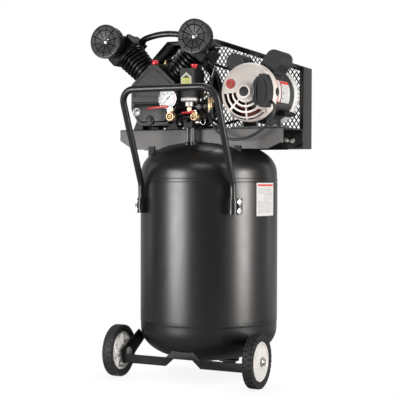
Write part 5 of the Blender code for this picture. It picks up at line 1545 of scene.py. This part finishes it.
piece("terminal_box_lid", terminal_cover(), PLASTIC, rep="terminal_cover", bev=0.0010, seg=3)
for i, (x, z) in enumerate(placed(((0.0465, 0.0500), (0.0455, -0.0495)), MOTOR)):
    piece("terminal_screw_post_%d" % (i + 1),
          rod(0.0058, -0.1560, -0.1400, (x, 0, z), Y, soften=0.0008), DIE)
    hex_bolt("terminal_screw_%d" % (i + 1), (x, -0.1559, z), FORWARD, 0.0040, 0.0030,
             washer=False, finish=DIE, slot="motor_front_bell")
CABLE_PATH = [
    (0.2640, -0.1380, 0.9000), (0.2770, -0.1400, 0.8950), (0.2881, -0.1400, 0.8790),
    (0.2832, -0.1400, 0.8491), (0.2539, -0.1400, 0.8133), (0.2091, -0.1400, 0.7860),
    (0.1637, -0.1400, 0.7765), (0.1333, -0.1400, 0.7800), (0.0974, -0.1400, 0.8000),
    (0.0791, -0.1360, 0.8213), (0.0600, -0.1290, 0.8500), (0.0440, -0.1250, 0.8850),
    (0.0330, -0.1230, 0.9120), (0.0275, -0.1220, 0.9280), (0.0235, -0.1220, 0.9340)]
piece("motor_cable", sweep(spline(CABLE_PATH), 0.0042, 18), CABLE,
      sharp=60)
piece("cable_gland_motor",
      sweep([(0.2590, -0.1375, 0.9010), (0.2720, -0.1392, 0.8975)], 0.0062, 24),
      PLASTIC_DARK)

# ================================================================ pressure switch
SWITCH_L, SWITCH_R, SWITCH_F, SWITCH_B = -0.026, 0.028, -0.168, -0.098
SWITCH_LOW, SWITCH_TOP = 0.912, 1.006
KNOB = (0.012, -0.140, 0)


def switch_box():
    """A box with a raised panel on its front, a lower strip below it and a seam on the right."""
    left, right, front, low, top = SWITCH_L, SWITCH_R, SWITCH_F, SWITCH_LOW, SWITCH_TOP
    body = fillet(block(left, right, low, top), [0.004, 0.004, 0.0055, 0.0055], 5)
    panel = fillet(block(left + 0.0022, right - 0.0022, low + 0.022, top - 0.003), 0.003, 4)
    strip = fillet(block(left + 0.0040, right - 0.0040, low + 0.003, low + 0.0200), 0.002, 4)
    return combine(
        prism(body, front + 0.003, SWITCH_B), (ADD, prism(panel, front, front + 0.006)),
        (ADD, prism(strip, front + 0.0012, front + 0.006)),
        (CUT, box(right - 0.0012, right + 0.004, front + 0.0075, front + 0.0090, low - 0.01,
                  top + 0.01)),
        (CUT, rod(0.0048, top - 0.014, top + 0.01, KNOB, Z, 24)))


piece("switch_case", switch_box(), PLASTIC, rep="pressure_switch", bev=0.0009, seg=3)
piece("switch_screw",
      rod(0.0032, SWITCH_F - 0.0009, SWITCH_F + 0.001, (0.019, 0, SWITCH_TOP - 0.010), Y, 24,
          soften=0.0004), CAST)
piece("switch_knob",
      lathe(soft([(0, 0.9945), (0.0042, 0.9945), (0.0042, 1.0066), (0.0088, 1.0066),
                  (0.0082, 1.0120), (0.0112, 1.0150), (0.0116, 1.0180), (0.0100, 1.0200),
                  (0.0060, 1.0205), (0, 1.0205)], 0.0004), KNOB, segs=40),
      RED_PLASTIC, "switch_pull", "pressure_switch_knob")
STICKER_X, STICKER_Z = -0.0030, 0.9575


def house(scale):
    """A square with a peaked top."""
    return [(STICKER_X + a * scale, STICKER_Z + b * scale)
            for a, b in ((-0.0185, -0.020), (0.0185, -0.020), (0.0185, 0.0200), (0, 0.0350),
                         (-0.0185, 0.0200))]


piece("switch_sticker_border",
      prism(fillet(house(1.0), 0.0012, 3), SWITCH_F - 0.0003, SWITCH_F + 0.0002), PAPER)
piece("switch_sticker_field", prism(house(0.84), SWITCH_F - 0.0005, SWITCH_F), PRINT_YELLOW)
peak = [(STICKER_X - 0.0130, STICKER_Z + 0.0170), (STICKER_X + 0.0130, STICKER_Z + 0.0170),
        (STICKER_X, STICKER_Z + 0.0272)]
piece("switch_sticker_peak", prism(peak, SWITCH_F - 0.0007, SWITCH_F - 0.0002), PRINT_BLACK)
piece("switch_sticker_lines", joined(*[
    box(STICKER_X - 0.0125, STICKER_X + 0.0125 - 0.002 * (k % 2), SWITCH_F - 0.0006,
        SWITCH_F - 0.0002, STICKER_Z + 0.0085 - 0.0062 * k, STICKER_Z + 0.0098 - 0.0062 * k)
    for k in range(4)]), PRINT_GREY)
UNLOADER = (0, -0.112, 0.924)
piece("unloader", joined(chamfered_hex(0.0075, 0.030, 0.036, UNLOADER, X),
                         rod(0.0045, 0.027, 0.044, UNLOADER, X, 24, soften=0.0008)),
      BRASS)

# ================================================================ manifold
BAR_Z = 0.850
BAR = (0, -0.168, BAR_Z)
STEM = (-0.008, PIPE_Y, 0)


def manifold():
    """A block with a stem up to the switch and a forward stub to the cross bar."""
    outline = fillet(block(-0.021, 0.0100, 0.8165, 0.853), 0.003, 4)
    return combine(prism(outline, -0.150, -0.112),
                   (ADD, rod(0.0100, 0.850, SWITCH_LOW - GAP, STEM, Z, 40)),
                   (ADD, rod(0.0085, -0.066, 0.058, BAR, X, 40)),
                   (ADD, rod(0.0085, -0.168, -0.140, (-0.008, 0, 0.842), Y, 40)))


piece("manifold", manifold(), FRAME, rep="manifold_block", bev=0.0008)
for i, x in enumerate(PIPES):
    piece("riser_pipe_%d" % (i + 1),
          rod(0.0062, dome(x, PIPE_Y) - 0.003, 0.820, (x, PIPE_Y, 0), Z, 40), GLOSS)
piece("manifold_collar", chamfered_hex(0.0135, 0.895, 0.9115, STEM), POWDER)
for i, x in enumerate((-0.0640, 0.0560)):
    piece("bar_end_%d" % (i + 1), chamfered_hex(0.0115, x - 0.006, x + 0.006, BAR, X), POWDER)
piece("bar_tees", joined(*[chamfered_hex(0.0122, x - 0.0055, x + 0.0055, BAR, X)
                           for x in (-0.0245, 0.0285)]), POWDER)
VALVE_LINE = (0, -0.1290, 0.8850)
piece("unloader_valve", joined(
    rod(0.0125, 0.0160, 0.0580, VALVE_LINE, X, 40, soften=0.0015),
    chamfered_hex(0.0165, 0.0240, 0.0360, VALVE_LINE, X, 0.2),
    chamfered_hex(0.0150, 0.0460, 0.0540, VALVE_LINE, X, 0.1),
    rod(0.0085, 0.8800, 0.9115, (0.0190, -0.1290, 0)),
    rod(0.0095, 0.8600, 0.8850, (0.0420, -0.1250, 0)),
    rod(0.0070, 0.8850, 0.9080, (0.0500, -0.1290, 0), soften=0.002)),
    CAST)
CHECK = (0, -0.1185, 0.8545)
piece("check_valve", joined(rod(0.0120, 0.0240, 0.0560, CHECK, X, 40, soften=0.0015),
                            chamfered_hex(0.0140, 0.0300, 0.0400, CHECK, X)),
      POWDER)

# ================================================================ gauge
GAUGE = (-0.0600, 0, 0.9085)
GAUGE_STEM = (GAUGE[0], -0.1745, GAUGE[2])
piece("gauge_body", joined(
    lathe([(0, -0.168), (0.0300, -0.168), (0.0312, -0.1690), (0.0318, -0.1840),
           (0.0330, -0.1850), (0.0333, -0.1870), (0.0331, -0.1890), (0.0322, -0.1901),
           (0.0305, -0.1900), (0.0300, -0.1888), (0.0300, -0.1868), (0, -0.1868)],
          GAUGE, Y, 96),
    rod(0.0046, -0.0493, -0.0300, GAUGE_STEM, Z, 24),
    chamfered_hex(0.0088, -0.0430, -0.0345, GAUGE_STEM)), CHROME, rep="gauge_case")
piece("gauge_dial", rod(0.0299, -0.18705, -0.1866, GAUGE, Y, 96), DIAL)


def gauge_tick(i):
    """One of 31 ticks over 270 degrees; each fifth is longer and wider."""
    inner, half = (0.0238, 0.00022) if i % 5 else (0.0225, 0.00042)
    return prism(block(inner, 0.0262, -half, half), -0.18735, -0.1870, GAUGE,
                 *spoke(radians(225 - 270 * i / 30)))


def gauge_number(i):
    angle = radians(225 - 45 * i)
    curve = bpy.data.curves.new("digits", "FONT")
    curve.body = str(50 * i)
    curve.size, curve.extrude, curve.align_x, curve.align_y = 0.0046, 0.00012, "CENTER", "CENTER"
    text = bpy.data.objects.new("digits", curve)
    scene.collection.objects.link(text)
    bpy.context.view_layer.update()
    evaluated = text.evaluated_get(bpy.context.evaluated_depsgraph_get())
    data = bpy.data.meshes.new_from_object(evaluated)
    bpy.data.objects.remove(text, do_unlink=True)
    mesh = bmesh.new()
    mesh.from_mesh(data)
    bmesh.ops.remove_doubles(mesh, verts=mesh.verts, dist=1e-7)
    spot = (GAUGE[0] + 0.0188 * cos(angle), -0.1872, GAUGE[2] + 0.0188 * sin(angle))
    upright = Matrix.Translation(spot) @ Matrix.Rotation(radians(90), 4, "X")
    bmesh.ops.transform(mesh, matrix=upright, verts=mesh.verts)
    return mesh


def needle():
    blade = [(-0.0120, -0.0013), (0.0, -0.0010), (0.0245, -0.0003), (0.0245, 0.0003),
             (0.0, 0.0010), (-0.0120, 0.0013)]
    return joined(lathe(soft([(0, -0.1870), (0.0030, -0.1870), (0.0028, -0.1884), (0, -0.1886)],
                             0.0004), GAUGE, Y, 28),
                  prism(blade, -0.1881, -0.1875, GAUGE, *spoke(radians(225))))


piece("gauge_ticks", joined(*[gauge_tick(i) for i in range(31)]), PRINT_BLACK)
band_stops = [-45 + 85 * i / 24 for i in range(25)]
piece("gauge_red_band",
      prism(arc((0, 0), 0.0276, band_stops) + arc((0, 0), 0.0264, reversed(band_stops)),
            -0.18730, -0.1870, GAUGE), PRINT_PINK)
piece("gauge_numbers", joined(*[gauge_number(i) for i in range(7)]), PRINT_BLACK)
piece("gauge_pointer", needle(), PLASTIC_DARK, "needle", "gauge_needle")
piece("gauge_lens",
      lathe([(0, -0.1896), (0.0150, -0.1895), (0.0302, -0.1889), (0.0302, -0.1892),
             (0.0150, -0.18985), (0, -0.18995)], GAUGE, Y, 64), LENS)

# ================================================================ ball valves
VALVE_Y, PIVOT_Y = -0.1768, -0.205
# the valve's port, pointing forward: radius, y
PORT = [
    (0, VALVE_Y), (0.0100, VALVE_Y), (0.0100, -0.1862), (0.0128, -0.1868), (0.0128, -0.2020),
    (0.0112, -0.2028), (0.0112, -0.2070), (0.0138, -0.2082), (0.0145, -0.2094),
    (0.0145, -0.2130), (0.0138, -0.2142), (0.0132, -0.2146), (0.0132, -0.2226),
    (0.0126, -0.2235), (0.0104, -0.2235), (0.0098, -0.2226), (0.0098, -0.2120),
    (0.0056, -0.2120), (0.0056, -0.2218), (0.0050, -0.2224), (0.0034, -0.2224),
    (0.0030, -0.2216), (0.0030, -0.2000), (0, -0.2000)]
REACH_L, REACH_R = 0.086, 0.0675
# lever sleeves: distance from the pivot, height, half-width
SLEEVE_L = [
    (0.0060, 0.0000, 0.0046), (0.0085, 0.0008, 0.0056), (0.0130, 0.0034, 0.0060),
    (0.0180, 0.0046, 0.0060), (0.0260, 0.0046, 0.0060), (REACH_L * 0.55, 0.0026, 0.0060),
    (REACH_L * 0.86, 0.0004, 0.0060), (REACH_L - 0.004, -0.0004, 0.0054),
    (REACH_L - 0.0012, -0.0006, 0.0040), (REACH_L, -0.0008, 0.0020)]
SLEEVE_R = [
    (0.0100, 0.0000, 0.0044), (0.0125, -0.0004, 0.0054), (0.0170, -0.0014, 0.0060),
    (0.0240, -0.0028, 0.0062), (REACH_R * 0.55, -0.0046, 0.0063),
    (REACH_R * 0.86, -0.0064, 0.0063), (REACH_R - 0.004, -0.0068, 0.0056),
    (REACH_R - 0.0012, -0.0070, 0.0042), (REACH_R, -0.0070, 0.0020)]


def valve_body(x, drop, scale, lever_z):
    centre = (x, 0, BAR_Z - drop)
    port = [(a * scale, VALVE_Y + (b - VALVE_Y) * 0.80) for a, b in soft(PORT, 0.0003, 2)]
    return joined(
        lathe(port, centre, Y, 72),
        chamfered_hex(0.0156 * scale, -0.2015, -0.1900, centre, Y, 0.2),
        rod(0.0060, 0.0090, lever_z - GAP - BAR_Z - 0.004, (x, PIVOT_Y, BAR_Z), soften=0.0005),
        chamfered_hex(0.0078, lever_z - 0.0075, lever_z - 0.0008, (x, PIVOT_Y, 0),
                      chamfer=0.0006))


def lever_sleeve(x, lever_z, out, sideways, stations):
    """A flattened, rounded sleeve through the stations, thinner towards its ends."""
    rings, count = [], len(stations)
    for i, (distance, height, half) in enumerate(stations):
        if i == 0:
            share = 0.6
        elif i >= count - 2:
            share = 0.55
        else:
            share = 0.82 if i in (1, count - 3) else 1.0
        middle = Vector((x, PIVOT_Y, lever_z + 0.0014)) + out * distance + UP * height
        ring = []
        for angle in (tau * j / 20 for j in range(20)):
            wide, tall = (math.copysign(abs(c) ** 0.62, c) for c in (cos(angle), sin(angle)))
            ring.append(middle + sideways * (half * 0.94 * wide) + UP * (0.0036 * share * tall))
        rings.append(ring)
    return skin(rings)


def ball_valve(word, x, drop, scale, rest, stations):
    """Body, bore, lever strip, red sleeve and nut. rest is the lever's angle from above."""
    lever_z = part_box("ball_valve_lever_" + word)[0][2]
    body, lever = "ball_valve_body_" + word, "valve_lever_" + word
    piece("valve_body_" + word, valve_body(x, drop, scale, lever_z), BRASS, rep=body, sharp=32)
    # painted shade: a dark ring on the floor of the port's groove
    piece("valve_bore_" + word,
          lathe(block(0.0057 * scale, 0.0097 * scale, -0.2051, -0.2056),
                (x, 0, BAR_Z - drop), Y, 40), BRASS_PAINTED_SHADE)
    angle = radians(rest)
    out, sideways = Vector((cos(angle), sin(angle), 0)), Vector((-sin(angle), cos(angle), 0))
    rise = stations[3][1] * 0.85
    strip = [(-0.0062, 0.0), (0.0062, 0.0), (0.0095, 0.0), (0.0150, rise),
             (0.0150, rise + 0.0022), (0.0090, 0.0024), (0.0058, 0.0022), (-0.0062, 0.0022)]
    piece("valve_lever_strip_" + word,
          prism(strip, -0.0050, 0.0050, (x, PIVOT_Y, lever_z), out, UP, sideways),
          ZINC, lever, bev=0.0004)
    piece(lever, lever_sleeve(x, lever_z, out, sideways, stations), RED, lever, "ball_" + lever,
          sharp=60)
    piece("valve_lever_nut_" + word, joined(
        chamfered_hex(0.0052, lever_z + 0.0028, lever_z + 0.0052, (x, PIVOT_Y, 0),
                      chamfer=0.0005),
        rod(0.0026, lever_z + 0.0045, lever_z + 0.0062, (x, PIVOT_Y, 0), Z, 20,
            soften=0.0003)), ZINC, lever)


ball_valve("left", -0.0385, drop=0.0, scale=1.0, rest=180.0, stations=SLEEVE_L)
ball_valve("right", 0.0460, drop=0.0025, scale=0.86, rest=260.0, stations=SLEEVE_R)

# ================================================================ regulator
low_corner, high_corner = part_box("regulator_knob")
REG_X, REG_Y = (low_corner[0] + high_corner[0]) / 2 - TANK_AXIS.x, -0.192
REGULATOR = (REG_X, REG_Y, 0)
piece("regulator_neck", joined(
    lathe(soft([(0, 0.8700), (0.0058, 0.8700), (0.0062, 0.8812), (0, 0.8812)], 0.0005),
          REGULATOR, segs=32),
    chamfered_hex(0.0078, 0.8690, 0.8760, REGULATOR, chamfer=0.0008)),
    BRASS, rep="regulator_body")
piece("regulator_elbow",
      prism(fillet(block(REG_X - 0.006, REG_X + 0.006, 0.8592, 0.8700), 0.0015, 3), REG_Y,
            -0.1620), BRASS, bev=0.0005)
piece("regulator_collar",
      lathe(soft([(0, 0.8812), (0.0118, 0.8812), (0.0125, 0.8822), (0.0125, 0.8946),
                  (0.0116, 0.8956), (0.0060, 0.8960), (0.0060, 0.8972), (0, 0.8972)], 0.0006),
            REGULATOR, segs=64), SATIN)


def scallop(radius, angle):
    """24 shallow dents round the hand wheel's rim."""
    if radius <= 0.0225:
        return radius
    return radius - 0.0011 * (0.5 + 0.5 * cos(angle * 24)) ** 2


piece("regulator_hand_wheel",
      lathe([(0, 0.8976), (0.0235, 0.8976), (0.0252, 0.8986), (0.0262, 0.9000),
             (0.0262, 0.9064), (0.0252, 0.9080), (0.0230, 0.9090), (0.0130, 0.9091),
             (0.0120, 0.9098), (0, 0.9098)], REGULATOR, segs=144, waver=scallop),
      SATIN, "regulator_screw", "regulator_knob", sharp=40)

# ================================================================ safety valve
SAFETY = (0, PIPE_Y, 0.835)
piece("safety_valve", joined(chamfered_hex(0.0090, 0.0103, 0.0160, SAFETY, X),
                             tube(0.0026, 0.0072, 0.0155, 0.0250, SAFETY, X, soften=0.0006)),
      ZINC, rep="safety_valve_body")


def pull_ring():
    """A wire ring at the end of a short pin."""
    rings = []
    for angle in (tau * i / 48 for i in range(48)):
        out = Vector((-cos(angle), 0, sin(angle)))
        point = Vector((0.0380, PIPE_Y, 0.835)) + out * 0.0085
        rings.append([point + out * (0.0012 * cos(g)) + BACK * (0.0012 * sin(g))
                      for g in (tau * k / 12 for k in range(12))])
    return joined(skin(rings, closed=True), rod(0.0020, 0.0160, 0.0300, SAFETY, X, 20))


piece("safety_ring", pull_ring(), CHROME, "safety_pull", "safety_valve_ring")


# ================================================================ floor
def floor_material():
    """A pale floor. The camera sees it near white, with a painted contact shadow that darkens it a
    little close under the object.
    """
    made = bpy.data.materials.new("studio_pale")
    made.use_nodes = True
    tree = made.node_tree
    shader = tree.nodes["Principled BSDF"]
    roughness = remap(tree, noise(tree, 3), target=(0.78, 0.82))
    place = node(tree, "NewGeometry").outputs["Position"]
    depth = node(tree, "SeparateXYZ", {"Vector": place}).outputs["Y"]
    feed(tree, shader, {
        "Roughness": roughness, "Base Color": (0.30, 0.30, 0.30, 1),
        "Specular IOR Level": 0.1, "Emission Color": (1, 1, 1, 1),
        # the floor glows behind the object
        "Emission Strength": remap(tree, depth, (0.6, 1.6), (0.0, 0.5))})
    place = node(tree, "NewGeometry").outputs["Position"]
    distance = node(tree, "VectorMath", {0: place}, operation="LENGTH").outputs["Value"]
    far_white = remap(tree, distance, (0.30, 0.75))
    # painted shadow: ambient occlusion dims the white the camera sees under the object
    occlusion = node(tree, "AmbientOcclusion", {"Distance": 0.10}, samples=8)
    painted_contact_shadow = remap(tree, occlusion.outputs["AO"], (0.35, 0.95), (0.90, 1.0))
    strength = node(tree, "Math", {0: painted_contact_shadow, 1: far_white}, operation="MAXIMUM")
    white = node(tree, "Emission", {"Strength": strength.outputs["Value"]})
    seen = node(tree, "LightPath").outputs["Is Camera Ray"]
    mix = node(tree, "MixShader", {"Fac": seen, 1: shader.outputs["BSDF"],
                                   2: white.outputs["Emission"]})
    feed(tree, tree.nodes["Material Output"], {"Surface": mix.outputs["Shader"]})
    return made


def studio_floor(half=9.0, z=-0.0005):
    floor = bpy.data.objects.new("studio_floor", bpy.data.meshes.new("studio_floor"))
    mesh = bmesh.new()
    mesh.faces.new([mesh.verts.new((x, y, z)) for x, y in block(-half, half, -half, half)])
    mesh.to_mesh(floor.data)
    mesh.free()
    scene.collection.objects.link(floor)
    floor.data.materials.append(floor_material())


studio_floor()

# ================================================================ world
CAM = Vector((1.48762, -3.19020, 0.659))
CAM_AZIMUTH = math.degrees(math.atan2(CAM.y, CAM.x))
CAM_YAW, CAM_PITCH, CAM_ROLL = radians(25.49), radians(-1.27), radians(0.12)


def studio_world():
    """Light that grows upward and behind the object; plain white to the camera."""
    world = bpy.data.worlds.new("studio")
    scene.world = world
    world.use_nodes = True
    tree = world.node_tree
    seen = node(tree, "LightPath").outputs["Is Camera Ray"]
    direction = node(tree, "TexCoord").outputs["Generated"]
    height = node(tree, "SeparateXYZ", {"Vector": direction}).outputs["Z"]
    upward = remap(tree, height, (-0.2, 1.0), (0.025, 0.20))
    # the bright backdrop gives edges seen at a glancing angle a pale rim
    away = dot(tree, direction, (-sin(CAM_YAW), cos(CAM_YAW), 0.0))
    behind = remap(tree, away, (0.55, 0.95), (0.0, 0.55))
    total = node(tree, "Math", {0: upward, 1: behind}, operation="ADD")
    light = tree.nodes["Background"]
    feed(tree, light, {"Strength": total.outputs["Value"], "Color": (1.0, 0.985, 0.97, 1)})
    white = node(tree, "Background", {"Color": (1, 1, 1, 1), "Strength": 1.0})
    mix = node(tree, "MixShader", {"Fac": seen, 1: light.outputs["Background"],
                                   2: white.outputs["Background"]})
    feed(tree, tree.nodes["World Output"], {"Surface": mix.outputs["Shader"]})


studio_world()


# ================================================================ lights
def softbox(name, azimuth, distance, z, size, watts, aim, colour=(1, 1, 1)):
    """An area light.

    azimuth: degrees round the tank from the camera's side, positive to the viewer's right.
    size: width and height. aim: the point it faces.
    """
    angle = radians(CAM_AZIMUTH + azimuth)
    place = Vector((distance * cos(angle), distance * sin(angle), z)) + TANK_AXIS
    light = bpy.data.lights.new(name, "AREA")
    light.shape, light.energy, light.color = "RECTANGLE", watts, colour
    light.size, light.size_y = size
    made = bpy.data.objects.new(name, light)
    scene.collection.objects.link(made)
    made.location = place
    look = Vector(aim) + TANK_AXIS - place
    made.rotation_euler = look.to_track_quat("-Z", "Y").to_euler()
    return light


softbox("softbox_left", azimuth=-52, distance=2.6, z=0.52, size=(1.10, 1.10), watts=66,
        aim=(0, 0, 0.52), colour=(1.0, 0.99, 0.98))
softbox("softbox_right", azimuth=56.5, distance=2.6, z=0.60, size=(0.86, 1.24), watts=68,
        aim=(0, 0, 0.60), colour=(1.0, 0.97, 0.94))
softbox("overhead", azimuth=170, distance=0.85, z=2.7, size=(1.2, 0.8), watts=20,
        aim=(0, 0, 0.75))
softbox("front_high", azimuth=-14, distance=3.2, z=2.9, size=(1.6, 0.8), watts=20,
        aim=(0, 0, 0.95))
softbox("front_high_right", azimuth=34, distance=3.0, z=2.6, size=(0.9, 0.7), watts=13,
        aim=(0, 0, 0.95))
for name, azimuth in (("rim_left", -112), ("rim_right", 116)):
    softbox(name, azimuth, distance=2.6, z=1.0, size=(0.5, 1.8), watts=4, aim=(0, 0, 0.7))
wheel_fill = softbox("wheel_fill", azimuth=16, distance=1.9, z=0.30, size=(0.14, 0.14),
                     watts=0.26, aim=(-WHEEL_X, WHEEL_Y, WHEEL_R))
wheel_fill.spread = radians(14)


# ================================================================ camera
def studio_camera():
    data = bpy.data.cameras.new("camera")
    data.lens, data.sensor_width = 94.68, 36.0
    data.clip_start, data.clip_end = 0.05, 60.0
    camera = bpy.data.objects.new("camera", data)
    scene.collection.objects.link(camera)
    forward = Vector((-sin(CAM_YAW) * cos(CAM_PITCH), cos(CAM_YAW) * cos(CAM_PITCH),
                      sin(CAM_PITCH)))
    level = forward.cross(UP).normalized()
    upright = level.cross(forward)
    right = level * cos(CAM_ROLL) + upright * sin(CAM_ROLL)
    top = upright * cos(CAM_ROLL) - level * sin(CAM_ROLL)
    pose = Matrix((right, top, -forward)).transposed().to_4x4()
    pose.translation = CAM + TANK_AXIS
    camera.matrix_world = pose
    scene.camera = camera


studio_camera()
scene.view_settings.view_transform = "Standard"
scene.view_settings.look = "None"
scene.view_settings.exposure = 0.0
